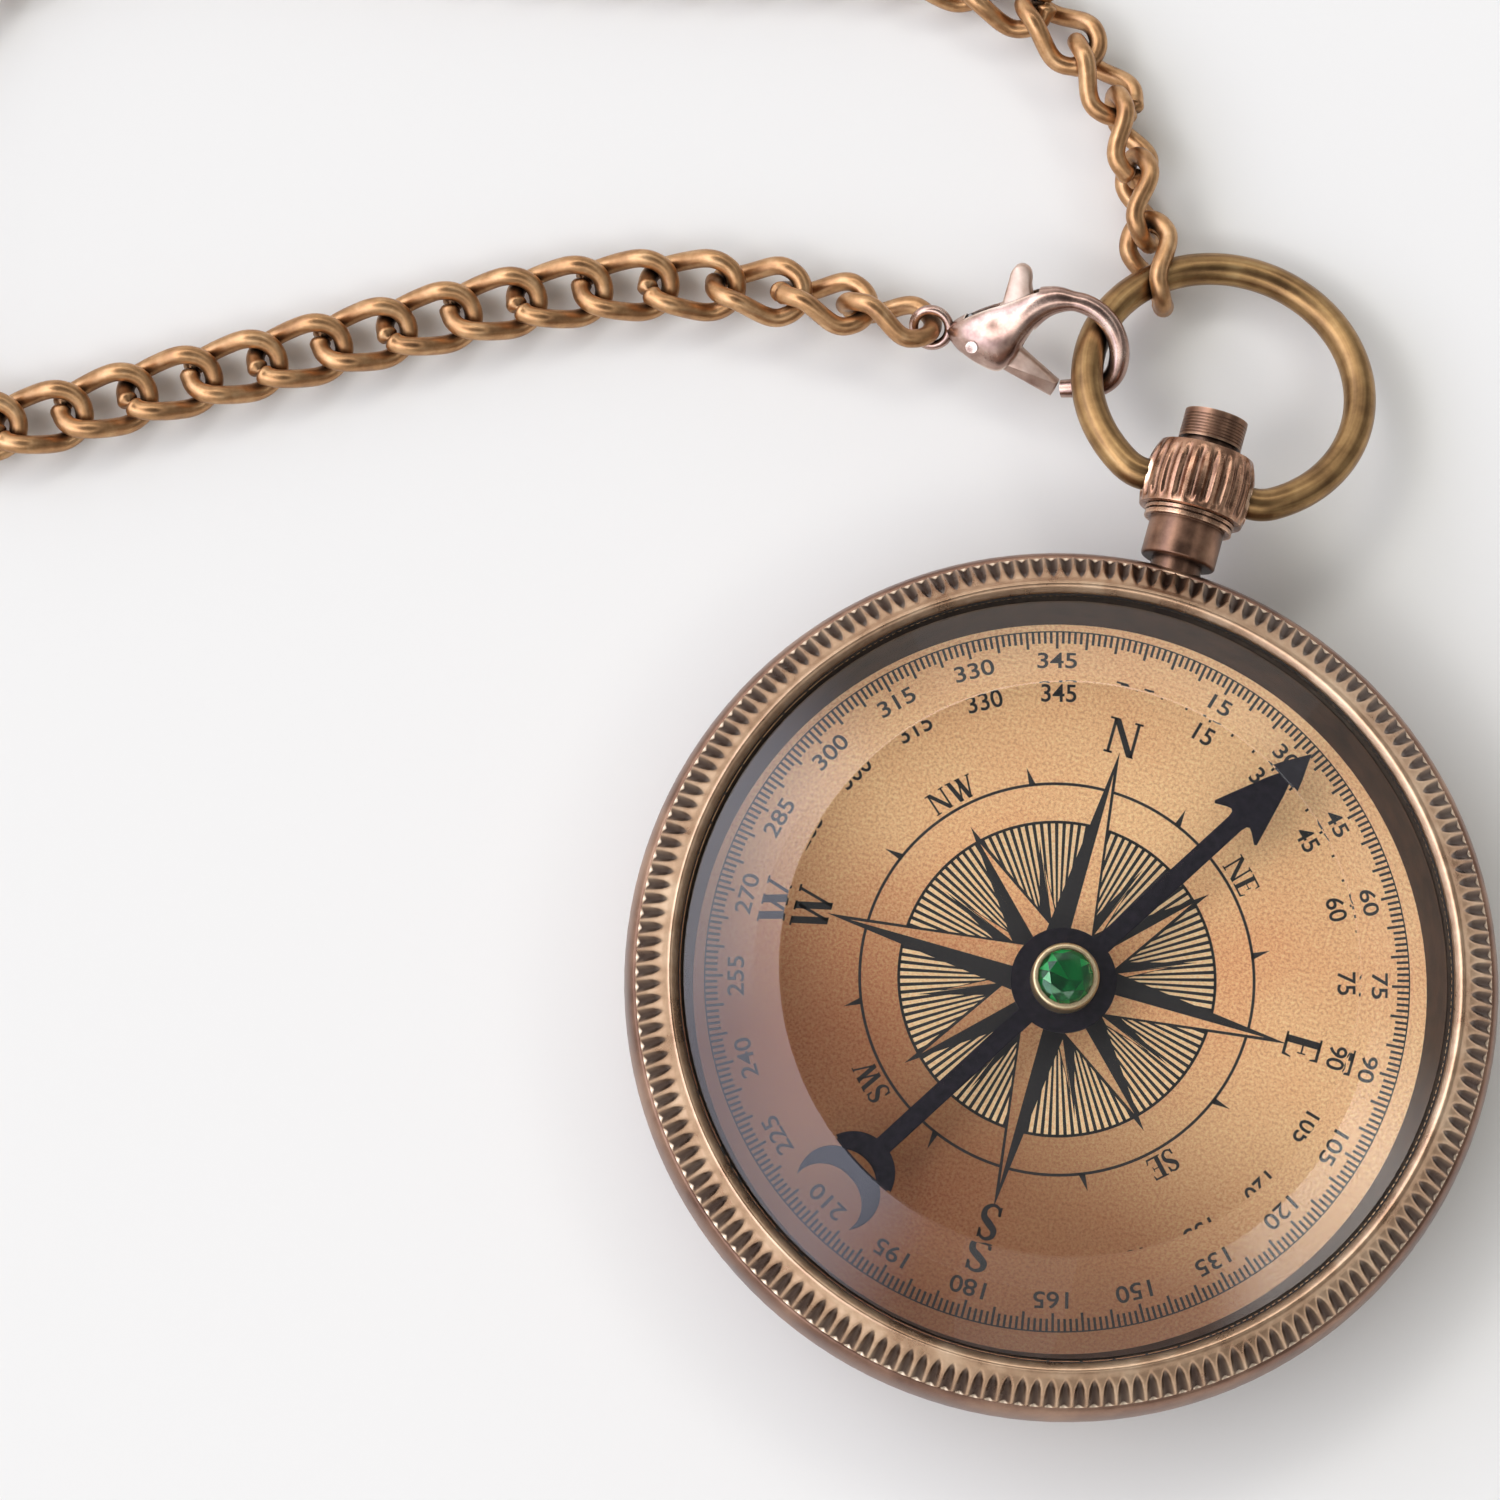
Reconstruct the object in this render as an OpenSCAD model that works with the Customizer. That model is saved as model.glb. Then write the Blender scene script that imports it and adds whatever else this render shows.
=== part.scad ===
// Pocket compass with a coin-edge bezel, a thick bevelled crystal, a ring bow,
// a curb chain and a lobster clasp. It lies on its flat back with the dial up.
// +Z is out of the dial and +Y runs up the pendant. The origin is the centre of the back.

/* [Case] */
// Diameter of the case at its belly
case_d = 57; // [55:0.5:60]
// Diameter of the flat back
back_d = 35; // [30:0.5:40]
// Height of the belly above the back
belly_h = 6.6; // [6.3:0.1:7]
// Height of the rim that carries the bezel
rim_h = 9.2; // [9:0.1:9.8]
// Setback of the rim from the belly
rim_setback = 0.7; // [0.4:0.1:1]
// Thickness of the rim wall
rim_wall = 1; // [0.8:0.1:1.2]
// Thickness of the floor
floor_t = 1.3; // [1:0.1:1.8]
// Depth of the open space under the dial
under_dial_h = 2.4; // [1.8:0.1:2.6]
// Width of the ledge that carries the dial
ledge_w = 1.8; // [1:0.1:2.5]
// Height of the waist where the bore starts
waist_h = 6.4; // [6:0.1:6.8]

/* [Bezel] */
// Number of flutes in the coin edge
flute_count = 180; // [120:4:200]
// Width of the fluted shoulder seen from above
flute_w = 1.7; // [1.3:0.1:2]
// Radius of the cutter that makes each flute
flute_r = 0.42; // [0.3:0.02:0.44]
// Depth of the flutes
flute_depth = 0.3; // [0.2:0.02:0.36]
// Width of the smooth slope inside the flutes
slope_w = 0.45; // [0.3:0.05:0.7]
// Width of the inner chamfer
chamfer_w = 0.55; // [0.4:0.05:0.7]
// Height of the upright outer edge
edge_h = 0.35; // [0.2:0.05:0.6]
// Height of the ridge above the rim
bezel_h = 2.5; // [2.2:0.1:2.9]
// Depth of the skirt inside the case
skirt_h = 0.75; // [0.6:0.05:0.8]
// Thickness of the lip over the gasket
lip_t = 0.4; // [0.3:0.05:0.6]

/* [Crystal] */
// Thickness of the crystal at its edge
crystal_edge_t = 1.2; // [0.9:0.1:1.5]
// Thickness of the crystal at its centre
crystal_t = 4.6; // [3.5:0.1:5.2]
// Width of the bevel
bevel_w = 6.35; // [4:0.1:8]
// Thickness of the gasket under the crystal
gasket_t = 0.3; // [0.2:0.05:0.4]
// Width of the gasket beside the crystal
gasket_w = 0.5; // [0.4:0.05:0.6]

/* [Dial] */
// Thickness of the dial plate
dial_t = 0.5; // [0.3:0.1:0.8]
// Wall of the sloping ring, which is also how far its foot covers the dial
ring_wall = 0.4; // [0.3:0.05:0.6]
// Width in which the sloping ring widens from the dial to the crystal
ring_flare = 2.3; // [1.5:0.1:2.6]

/* [Needle] */
// Length from the pivot to the tip
needle_tip = 20.9; // [17:0.1:21.4]
// Length of the arrowhead
needle_head = 5.6; // [4:0.1:7]
// Width across the barbs
needle_head_w = 4; // [3:0.1:5]
// Width of the shaft
needle_shaft_w = 0.95; // [0.6:0.05:1.4]
// Thickness of the blade
needle_t = 0.3; // [0.2:0.05:0.4]
// Diameter of the disc round the hub
needle_disc_d = 6.9; // [5.5:0.1:8]
// Radius of the moon at the tail
moon_r = 2.7; // [2:0.1:3.2]
// Distance from the pivot to the centre of the moon
moon_reach = 18.6; // [15:0.1:18.8]
// Height of the blade above the dial
needle_lift = 2.5; // [2:0.1:2.7]
// Bearing of the needle from the pendant, clockwise
needle_turn = 31.8; // [0:0.1:360]
// Diameter of the needle's cap
cap_d = 4.4; // [4:0.1:5]
// Height of the cap above the blade
cap_h = 1.85; // [1.6:0.05:1.9]
// Diameter of the gem
gem_d = 3.6; // [3:0.1:3.8]
// Diameter of the pivot pin
pin_d = 0.6; // [0.4:0.05:0.8]

/* [Pendant] */
// Height of the pendant's axis above the back
pendant_h = 7.2; // [7:0.05:7.3]
// Diameter of the tube in the case wall
tube_d = 3.4; // [3:0.1:3.5]
// Tube left open between the case and the neck
tube_gap = 0.5; // [0.3:0.1:0.8]
// Diameter of the neck
neck_d = 5; // [4.4:0.1:5.4]
// Length of the neck
neck_l = 2.6; // [2:0.1:3.2]
// Diameter of the crown
crown_d = 7.4; // [7:0.1:7.8]
// Length of the crown
crown_l = 5.2; // [5.1:0.1:5.8]
// Number of flutes in the crown
crown_flutes = 24; // [16:2:30]
// Diameter of the button
button_d = 4.25; // [4:0.05:4.4]
// Height of the button's cap
button_h = 1.9; // [1.5:0.1:2.4]
// Travel of the button
button_travel = 0.45; // [0.3:0.05:0.48]
// Diameter of the stem
stem_d = 1.2; // [1:0.05:1.3]
// Turns of the return spring
spring_turns = 6; // [4:1:7]

/* [Bow] */
// Diameter of the bow's wire
bow_wire = 2.15; // [2:0.05:2.2]
// Radius of the bow's ring along the wire's centre
bow_r = 9.2; // [9:0.1:9.4]

/* [Clasp] */
// Wire radius of the hook
hook_wire_r = 0.68; // [0.6:0.02:0.7]
// Radius of the hook along its centre
hook_r = 3.45; // [3.4:0.05:3.6]
// Radius of the hook's tighter end
hook_end_r = 2; // [1.8:0.05:2.2]
// Straight finger at the end of the hook
hook_finger = 2.1; // [1.8:0.1:2.2]
// Thickness of the clasp between its cheeks
clasp_t = 2.8; // [2.4:0.1:3]
// Thickness of the lever
lever_t = 1; // [0.8:0.05:1.1]
// Diameter of the rivet
rivet_d = 0.8; // [0.6:0.05:0.9]
// Radius of the eye along its centre
eye_r = 1.22; // [1.2:0.01:1.3]
// Wire radius of the eye
eye_wire_r = 0.33; // [0.25:0.01:0.35]

/* [Chain] */
// Diameter of the chain's wire
link_wire = 1.25; // [1.2:0.01:1.26]
// Distance from link to link
link_pitch = 4.45; // [4.4:0.01:4.5]
// Half the width of a link along its centre
link_r = 1.95; // [1.92:0.01:1.98]
// Bend radius at a link's corners
link_corner = 1.2; // [1.1:0.01:1.25]
// Room between two links that pull on each other
link_play = 0.15; // [0.12:0.01:0.2]
// Twist of each end of a link
link_twist = 26; // [25:1:29]
// Links in the run that starts at the clasp
clasp_run_links = 16; // [10:1:20]
// Links in the run that ends at the bow
bow_run_links = 5; // [3:1:8]
// Reach of the chain's loop to the left of the pendant
chain_reach_x = 93; // [90:1:100]
// Reach of the chain's loop beyond the pendant
chain_reach_y = 31.5; // [28:0.5:36]

/* [Hidden] */

$fn = 96;
small_fn = 32;
arc_steps = 12;
// One overrun for every cut
cut = 0.5;
// Clearances
snap_gap = 0.04;
running_gap = 0.05;
side_gap = 0.08;
tip_gap = 0.03;

// Case, worked out from the outside in
case_r = case_d / 2;
back_r = back_d / 2;
rim_r = case_r - rim_setback;
bore_r = rim_r - rim_wall;
dial_seat_z = floor_t + under_dial_h;
dial_z = dial_seat_z + dial_t;

// Bezel and crystal
skirt_r = bore_r - snap_gap;
flute_in_r = rim_r - flute_w;
ridge_r = flute_in_r - slope_w;
lip_r = ridge_r - chamfer_w;
ridge_z = rim_h + bezel_h;
edge_z = rim_h + edge_h;
chamfer_drop = 0.4;
flute_drop = 0.45;
flute_top_z = ridge_z - flute_drop;
flute_slope = atan((flute_top_z - edge_z) / flute_w);
lip_z = ridge_z - chamfer_drop - lip_t;
lip_overhang = 0.1;
crystal_r = lip_r - lip_overhang;
crystal_z = lip_z - crystal_edge_t;
crystal_top = crystal_z + crystal_t;
gasket_r = crystal_r + gasket_w;
gasket_z = crystal_z - gasket_t;
gasket_lap = 0.5;

// Sloping ring and dial
ring_top_r = crystal_r - gasket_lap;
ring_foot_r = ring_top_r - ring_flare;
ring_flange_t = 0.4;
dial_r = ring_foot_r + ring_wall;
recess_r = dial_r + snap_gap;
ledge_r = recess_r - ledge_w;
dial_hole_r = 0.95;

// Pivot
base_foot_r = 3.2;
base_foot_t = 0.7;
base_post_r = dial_hole_r - running_gap;
base_post_proud = 0.3;
pin_r = pin_d / 2;
pin_point_l = 0.6;
pin_tip_r = 0.03;

// Needle
blade_z = dial_z + needle_lift;
disc_r = needle_disc_d / 2;
cap_z = blade_z + needle_t;
cap_top = cap_z + cap_h;
cap_r = cap_d / 2;
cap_round = 0.25;
sleeve_r = 1.25;
sleeve_l = 0.7;
cap_bore_r = 0.85;
cap_web = 0.15;
gem_r = gem_d / 2;
gem_seat = 0.5;
gem_seat_z = cap_top - gem_seat;
gem_proud = 0.25;
gem_table_share = 0.6;
gem_facets = 10;
jewel_t = 0.5;
jewel_z = gem_seat_z - cap_web - jewel_t;
dimple_r = 0.35;
dimple_h = 0.3;
pin_tip_z = jewel_z + dimple_h - tip_gap;
barb_sweep = 0.8;
half_shaft = needle_shaft_w / 2;
disc_turn = acos(half_shaft / disc_r);
moon_root_turn = acos(half_shaft / moon_r);
// The moon is a disc with a smaller disc bitten out of it
bite_r = 0.86 * moon_r;
bite_shift = 0.42 * moon_r;
horn = (bite_r * bite_r - moon_r * moon_r - bite_shift * bite_shift) / (2 * bite_shift);
horn_turn = asin(horn / moon_r);
bite_turn = asin((horn + bite_shift) / bite_r);
disc_steps = 3 * arc_steps;

// Pendant, measured along +Y from the case's centre
tube_r = tube_d / 2;
neck_start = case_r + tube_gap;
neck_end = neck_start + neck_l;
neck_r = neck_d / 2;
neck_round = 0.2;
spigot_r = 2;
spigot_l = 1.3;
chamber_r = 1.45;
chamber_floor_l = 0.6;
stem_r = stem_d / 2;
stem_bore_r = stem_r + running_gap;
crown_r = crown_d / 2;
crown_end = neck_end + crown_l;
crown_foot_l = 0.55;
crown_foot_drop = 0.75;
crown_groove = 0.12;
crown_shoulder = 0.95;
crown_flute_r = 0.3;
crown_flute_depth = 0.22;
bow_axis_y = neck_end + crown_l / 2;
bow_wire_r = bow_wire / 2;
bow_bore_r = bow_wire_r + running_gap;
button_r = button_d / 2;
button_step = 0.28;
shank_r = button_r - button_step;
shank_bore_r = shank_r + running_gap;
bow_bore_web = 0.16;
shank_bore_l = crown_l / 2 - bow_bore_r - bow_bore_web;
button_gap = 0.52;
button_start = crown_end + button_gap;
shank_end_gap = 0.1;
shank_start = crown_end - shank_bore_l + button_travel + shank_end_gap;
button_rings = 7;
button_ring_r = 0.06;
stem_seat = 1;
clip_t = 0.4;
clip_r = 1.2;
clip_gap = 0.05;
clip_y = bore_r - clip_gap - clip_t;
stem_end_l = 0.4;
spring_wire_r = 0.14;
spring_r = 1.15;
spring_start = neck_end + chamber_floor_l;
spring_end = shank_start - button_travel - clip_gap;

// Chain link, two twisted ends joined by two slanting sides
wire_r = link_wire / 2;
link_half = (link_pitch + link_wire + link_play) / 2;
link_side = link_half - link_corner;
link_end = link_r - link_corner;
side_lap_share = 0.7;
first_roll = 62;
roll_step = 20;
end_roll = -110;
end_link_heading = 118;

// Height of a link's centre when the link lies on the surface, rolled by a
function link_height(a) =
    link_r * cos(link_twist) * abs(sin(a)) + link_r * sin(link_twist) * abs(cos(a)) + wire_r + snap_gap;

// Bow, a ring whose ends turn in to the crown
bow_pin_in = 2.25;
bow_end_room = 0.65;
bow_bend_x = crown_r + bow_end_room;
bow_end_turn = asin(bow_bend_x / bow_r);
bow_centre = bow_r * cos(bow_end_turn);
// The end link holds this place of the bow, measured round its ring
bow_link_turn = 132;
bow_link_reach = bow_centre + bow_r * sin(bow_link_turn);
// The bow sinks until the end link under it lies on the surface
bow_tilt = asin((pendant_h - link_height(end_roll)) / bow_link_reach);

// A place on the bow's wire, by its angle round the ring
function bow_point(a) = [
    bow_r * cos(a),
    bow_axis_y + (bow_centre + bow_r * sin(a)) * cos(bow_tilt),
    pendant_h - (bow_centre + bow_r * sin(a)) * sin(bow_tilt)
];

// A place turned by a roll, a pitch and a heading
function rolled(p, r) = [p.x, p.y * cos(r) - p.z * sin(r), p.y * sin(r) + p.z * cos(r)];
function pitched(p, e) = [p.x * cos(e) - p.z * sin(e), p.y, p.x * sin(e) + p.z * cos(e)];
function headed(p, h) = [p.x * cos(h) - p.y * sin(h), p.x * sin(h) + p.y * cos(h), p.z];

// Clasp, with its own x along the body and its own z out of the cheeks
hook_c = [4.1, -0.1];
hook_root_turn = 92;
hook_turn = -10;
hook_end_turn = -77;
hook_end_c = hook_c + (hook_r - hook_end_r) * [cos(hook_turn), sin(hook_turn)];
hook_tip_from = hook_end_c + hook_end_r * [cos(hook_end_turn), sin(hook_end_turn)];
hook_tip = hook_tip_from + hook_finger * [sin(hook_end_turn), -cos(hook_end_turn)];
finger_share = 0.88;
// Sections of the clasp's drop from its tail to the hook: the lower and the upper end
// of each as shares of the hook's radius, then its thickness as a share of the clasp's
drop_shares = [
    [[-1.20, -0.12], [-1.20, 0.06], 0.22], [[-1.09, -0.26], [-1.08, 0.21], 0.50],
    [[-0.86, -0.44], [-0.81, 0.41], 0.82], [[-0.51, -0.61], [-0.46, 0.62], 0.98],
    [[-0.10, -0.69], [-0.17, 0.77], 1.00], [[0.18, -0.40], [0.03, 0.88], 0.98],
    [[0.33, -0.03], [0.22, 0.99], 0.92], [[0.53, 0.33], [0.43, 1.11], 0.80],
    [[0.75, 0.58], [0.67, 1.18], 0.67], [[0.96, 0.71], [0.90, 1.20], 0.56]
];
eye_sink = 0.05;
eye_c = [drop_shares[0][0].x * hook_r - eye_r + eye_sink, -0.12];
rivet_r = rivet_d / 2;
rivet_c = [-2.2, -0.6];
hub_r = 0.75;
// Corners of the arm round the rivet and of the lug's foot, as shares of the hub's and the
// lug's radius
arm_shares = [[0, -0.9], [2, -1.6], [4, 0.3], [-0.6, 0.6]];
lug_foot_shares = [[1.7, -3], [-1.6, -4]];
slot_back = 3.05;
slot_front = 1.7;
slot_t = lever_t + 2 * side_gap;
finger_r = finger_share * hook_wire_r;
finger_across = finger_r * [cos(hook_end_turn), sin(hook_end_turn)];
gate_low = hook_tip.y - finger_r;
gate_high = hook_tip.y + finger_r;
// The gate's end clears the finger as it swings in
gate_reach = norm(hook_tip - finger_across - rivet_c) - side_gap;
function gate_end(y) = [rivet_c.x + sqrt(gate_reach * gate_reach - (y - rivet_c.y) * (y - rivet_c.y)), y];
lug_tip = [0.33, 4.7];
lug_r = 0.55;
clasp_spring_c = [-2.8, 0.95];
clasp_spring_r = 0.2;
clasp_spring_wall = 0.1;

// The bow's wire passes the clasp here, in the clasp's own frame
grip = [5.55, 0.3, -0.12];
grip_turn = 179;
clasp_heading = 3.2;
clasp_pitch = 11;
clasp_roll = 30.5;
clasp_at = bow_point(grip_turn)
    - headed(pitched(rolled(grip, clasp_roll), clasp_pitch), clasp_heading);

function on_clasp_point(p) =
    clasp_at + headed(pitched(rolled(p, clasp_roll), clasp_pitch), clasp_heading);

// Chain route from the clasp's eye to the end link, as shares of the loop's reach
route_shares = [
    [0.302, 0.213], [0.401, 0.165], [0.488, 0.063], [0.570, -0.070], [0.654, -0.216],
    [0.739, -0.362], [0.809, -0.489], [0.872, -0.559], [0.936, -0.517], [0.983, -0.368],
    [1.000, -0.149], [0.991, 0.121], [0.957, 0.375], [0.894, 0.575], [0.798, 0.698],
    [0.638, 0.771], [0.479, 0.867], [0.340, 0.978], [0.239, 0.981], [0.184, 0.930],
    [0.143, 0.848], [0.113, 0.737]
];
eye_at = on_clasp_point([eye_c.x, eye_c.y, 0]);
end_way = [cos(end_link_heading), sin(end_link_heading), 0];
end_link_at = bow_point(bow_link_turn) + (link_half - bow_wire_r - wire_r - link_play) * end_way;
chain_end = end_link_at + link_pitch / 2 * end_way;
route_mid = [for (s = route_shares) [-chain_reach_x * s[0], bow_axis_y + chain_reach_y * s[1]]];
eye_way = (route_mid[0] - [eye_at.x, eye_at.y]) / norm(route_mid[0] - [eye_at.x, eye_at.y]);
chain_start = [eye_at.x, eye_at.y] + (link_half - link_pitch / 2) * eye_way;
route = concat([chain_start], route_mid, [[chain_end.x, chain_end.y]]);
route_last = len(route) - 1;

function along(p, q, r, s, t) =
    (2 * q + (r - p) * t + (2 * p - 5 * q + 4 * r - s) * t * t + (3 * q - p - 3 * r + s) * t * t * t) / 2;
fine_route = [
    for (i = [0 : route_last - 1])
    for (j = [0 : arc_steps - 1])
    along(route[max(i - 1, 0)], route[i], route[i + 1], route[min(i + 2, route_last)], j / arc_steps),
    route[route_last]
];
fine_last = len(fine_route) - 1;
way = [
    for (i = 0, s = 0; i <= fine_last; i = i + 1,
        s = i <= fine_last ? s + norm(fine_route[i] - fine_route[i - 1]) : s)
    s
];
link_count = round(way[fine_last] / link_pitch);
far_middle = round((clasp_run_links + link_count - bow_run_links) / 2);
way_x = [for (i = [0 : fine_last]) [way[i], fine_route[i].x]];
way_y = [for (i = [0 : fine_last]) [way[i], fine_route[i].y]];

// Links stand up towards both ends of the chain and lie flat between them
function link_roll(k) =
    max(first_roll - roll_step * k, 0) + min(end_roll + roll_step * (link_count - k), 0);
function joint_height(k) =
    k == 0 ? eye_at.z
    : k == link_count ? chain_end.z
    : (link_height(link_roll(k - 1)) + link_height(link_roll(k))) / 2;
joints = [
    for (k = [0 : link_count])
    let (s = way[fine_last] * k / link_count)
    [lookup(s, way_x), lookup(s, way_y), joint_height(k)]
];

// An outline's arc about c, from one angle to another
function arc(c, r, from, to, steps = arc_steps) =
    [for (i = [0 : steps]) let (a = from + (to - from) * i / steps) c + r * [cos(a), sin(a)]];
function oval(c, rx, ry, from, to) =
    [for (i = [0 : arc_steps]) let (a = from + (to - from) * i / arc_steps) c + [rx * cos(a), ry * sin(a)]];

module on_pendant(y) {
    translate([0, y, pendant_h]) rotate([-90, 0, 0]) children();
}

module on_clasp() {
    translate(clasp_at) rotate([0, 0, clasp_heading]) rotate([0, -clasp_pitch, 0])
        rotate([clasp_roll, 0, 0]) children();
}

// A round wire bent about the z axis
module bend(r, wire, from, to) {
    rotate([0, 0, from]) rotate_extrude(angle = to - from) translate([r, 0]) circle(wire, $fn = small_fn);
}

module case_bowl() {
    color("#8a5f4a")
    difference() {
        rotate_extrude() polygon(concat(
            [[0, 0]],
            oval([back_r, belly_h], case_r - back_r, belly_h, -90, 0),
            oval([rim_r, belly_h], rim_setback, rim_h - belly_h, 0, 90),
            [
                [bore_r, rim_h], [bore_r, waist_h],
                [recess_r, dial_z], [recess_r, dial_seat_z],
                [ledge_r, dial_seat_z], [ledge_r, floor_t], [0, floor_t]
            ]
        ));
        on_pendant(waist_h) cylinder(r = tube_r + snap_gap, h = case_r - waist_h + cut);
    }
}

// The coin edge: each flute is a round cutter laid along the shoulder
module bezel() {
    color("#a5745a")
    difference() {
        rotate_extrude() polygon(concat(
            [[gasket_r, rim_h - skirt_h], [skirt_r, rim_h - skirt_h], [skirt_r, rim_h], [rim_r, rim_h]],
            [
                [rim_r, edge_z], [flute_in_r, flute_top_z], [ridge_r, ridge_z],
                [lip_r, ridge_z - chamfer_drop], [lip_r, lip_z], [gasket_r, lip_z]
            ]
        ));
        for (i = [0 : flute_count - 1])
            rotate([0, 0, 360 / flute_count * (i + 1 / 2)])
            translate([flute_in_r, 0, flute_top_z])
            rotate([0, 90 + flute_slope, 0])
            translate([-flute_r + flute_depth, 0, 0])
            cylinder(r = flute_r, h = 2 * flute_w, $fn = small_fn);
    }
}

module crystal() {
    color("#dfe8ea")
    rotate_extrude() polygon([
        [0, crystal_z], [crystal_r, crystal_z], [crystal_r, crystal_z + crystal_edge_t],
        [crystal_r - bevel_w, crystal_top], [0, crystal_top]
    ]);
}

module crystal_gasket() {
    color("#1d1b1a")
    rotate_extrude() polygon([
        [ring_top_r, gasket_z], [gasket_r, gasket_z], [gasket_r, lip_z],
        [crystal_r, lip_z], [crystal_r, crystal_z], [ring_top_r, crystal_z]
    ]);
}

module dial_ring() {
    color("#4a3326")
    rotate_extrude() polygon([
        [ring_foot_r, dial_z], [ring_foot_r + ring_wall, dial_z],
        [ring_top_r + ring_wall, gasket_z - ring_flange_t], [gasket_r, gasket_z - ring_flange_t],
        [gasket_r, gasket_z], [ring_top_r, gasket_z]
    ]);
}

module dial_plate() {
    color("#d99a68")
    translate([0, 0, dial_seat_z])
    difference() {
        cylinder(r = dial_r, h = dial_t);
        translate([0, 0, -cut]) cylinder(r = dial_hole_r, h = dial_t + 2 * cut, $fn = small_fn);
    }
}

module pivot_base() {
    color("#b08d57")
    difference() {
        union() {
            translate([0, 0, floor_t]) cylinder(r = base_foot_r, h = base_foot_t);
            translate([0, 0, floor_t])
                cylinder(r = base_post_r, h = dial_z + base_post_proud - floor_t, $fn = small_fn);
        }
        translate([0, 0, floor_t + base_foot_t]) cylinder(r = pin_r, h = dial_z, $fn = small_fn);
    }
}

module pivot_pin() {
    color("#c9ccd0")
    rotate_extrude($fn = small_fn) polygon([
        [0, floor_t + base_foot_t], [pin_r, floor_t + base_foot_t],
        [pin_r, pin_tip_z - pin_point_l], [pin_tip_r, pin_tip_z], [0, pin_tip_z]
    ]);
}

module on_needle() {
    rotate([0, 0, -needle_turn]) children();
}

// Arrowhead with swept barbs, slim shaft, disc round the hub, and a moon whose horns
// open away from the pivot
module needle_outline() {
    barb_y = needle_tip - needle_head;
    polygon(concat(
        [[0, needle_tip], [needle_head_w / 2, barb_y], [half_shaft, barb_y + barb_sweep]],
        arc([0, 0], disc_r, disc_turn, -disc_turn, disc_steps),
        arc([0, -moon_reach], moon_r, moon_root_turn, horn_turn),
        arc([0, -moon_reach - bite_shift], bite_r, bite_turn, 180 - bite_turn, 2 * arc_steps),
        arc([0, -moon_reach], moon_r, 180 - horn_turn, 180 - moon_root_turn),
        arc([0, 0], disc_r, 180 + disc_turn, 180 - disc_turn, disc_steps),
        [[-half_shaft, barb_y + barb_sweep], [-needle_head_w / 2, barb_y]]
    ));
}

module needle_blade() {
    color("#17171c")
    on_needle() translate([0, 0, blade_z]) linear_extrude(needle_t) difference() {
        needle_outline();
        circle(sleeve_r, $fn = small_fn);
    }
}

module needle_cap() {
    color("#c9a35a")
    rotate_extrude() polygon(concat(
        [[cap_bore_r, cap_z - sleeve_l], [sleeve_r, cap_z - sleeve_l], [sleeve_r, cap_z], [cap_r, cap_z]],
        arc([cap_r - cap_round, cap_top - cap_round], cap_round, 0, 90),
        [
            [gem_r + snap_gap, cap_top], [gem_r + snap_gap, gem_seat_z], [0, gem_seat_z],
            [0, gem_seat_z - cap_web], [cap_bore_r, gem_seat_z - cap_web]
        ]
    ));
}

module bearing_jewel() {
    color("#b3203a")
    rotate_extrude($fn = small_fn) polygon([
        [0, jewel_z + dimple_h], [dimple_r, jewel_z], [cap_bore_r, jewel_z],
        [cap_bore_r, jewel_z + jewel_t], [0, jewel_z + jewel_t]
    ]);
}

module gem() {
    color("#0f8a43")
    translate([0, 0, gem_seat_z]) {
        cylinder(r = gem_r, h = gem_seat - gem_proud);
        translate([0, 0, gem_seat - gem_proud])
            cylinder(r1 = gem_r, r2 = gem_r * gem_table_share, h = 2 * gem_proud, $fn = gem_facets);
    }
}

module pendant_neck() {
    color("#6d4c3c")
    on_pendant(0) rotate_extrude() polygon(concat(
        [[stem_bore_r, bore_r], [tube_r, bore_r], [tube_r, neck_start]],
        arc([neck_r - neck_round, neck_start + neck_round], neck_round, -90, 0),
        [
            [neck_r, neck_end], [spigot_r, neck_end], [spigot_r, neck_end + spigot_l],
            [chamber_r, neck_end + spigot_l], [chamber_r, neck_end + chamber_floor_l],
            [stem_bore_r, neck_end + chamber_floor_l]
        ]
    ));
}

module crown() {
    color("#9a6a52")
    on_pendant(neck_end) difference() {
        rotate_extrude() polygon(concat(
            [[chamber_r, spigot_l], [spigot_r + snap_gap, spigot_l], [spigot_r + snap_gap, 0]],
            [
                [crown_r - crown_foot_drop, 0], [crown_r - crown_foot_drop, crown_foot_l / 2],
                [crown_r - crown_foot_drop - crown_groove, crown_foot_l / 2],
                [crown_r - crown_foot_drop - crown_groove, crown_foot_l]
            ],
            oval([crown_r - crown_shoulder, crown_l / 2], crown_shoulder, crown_l / 2 - crown_foot_l, -60, 0),
            oval([crown_r - crown_shoulder, crown_l / 2], crown_shoulder, crown_l / 2, 10, 90),
            [
                [shank_bore_r, crown_l], [shank_bore_r, crown_l - shank_bore_l],
                [chamber_r, crown_l - shank_bore_l]
            ]
        ));
        for (i = [0 : crown_flutes - 1])
            rotate([0, 0, 360 / crown_flutes * (i + 1 / 2)])
            translate([crown_r + crown_flute_r - crown_flute_depth, 0, crown_foot_l])
            cylinder(r = crown_flute_r, h = crown_l, $fn = small_fn);
        for (side = [0, 1])
            translate([0, 0, crown_l / 2]) mirror([side, 0, 0]) rotate([0, 90, 0])
            translate([0, 0, bow_pin_in - side_gap]) cylinder(r = bow_bore_r, h = crown_r);
    }
}

// Return spring round the stem, one unbroken helix
spring_sides = 6;
spring_rings = 12;
function coil_ring(a, z) = [
    for (j = [0 : spring_sides - 1])
    let (b = 360 * j / spring_sides, r = spring_r + spring_wire_r * cos(b))
    [r * cos(a), r * sin(a), z + spring_wire_r * sin(b)]
];

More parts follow.
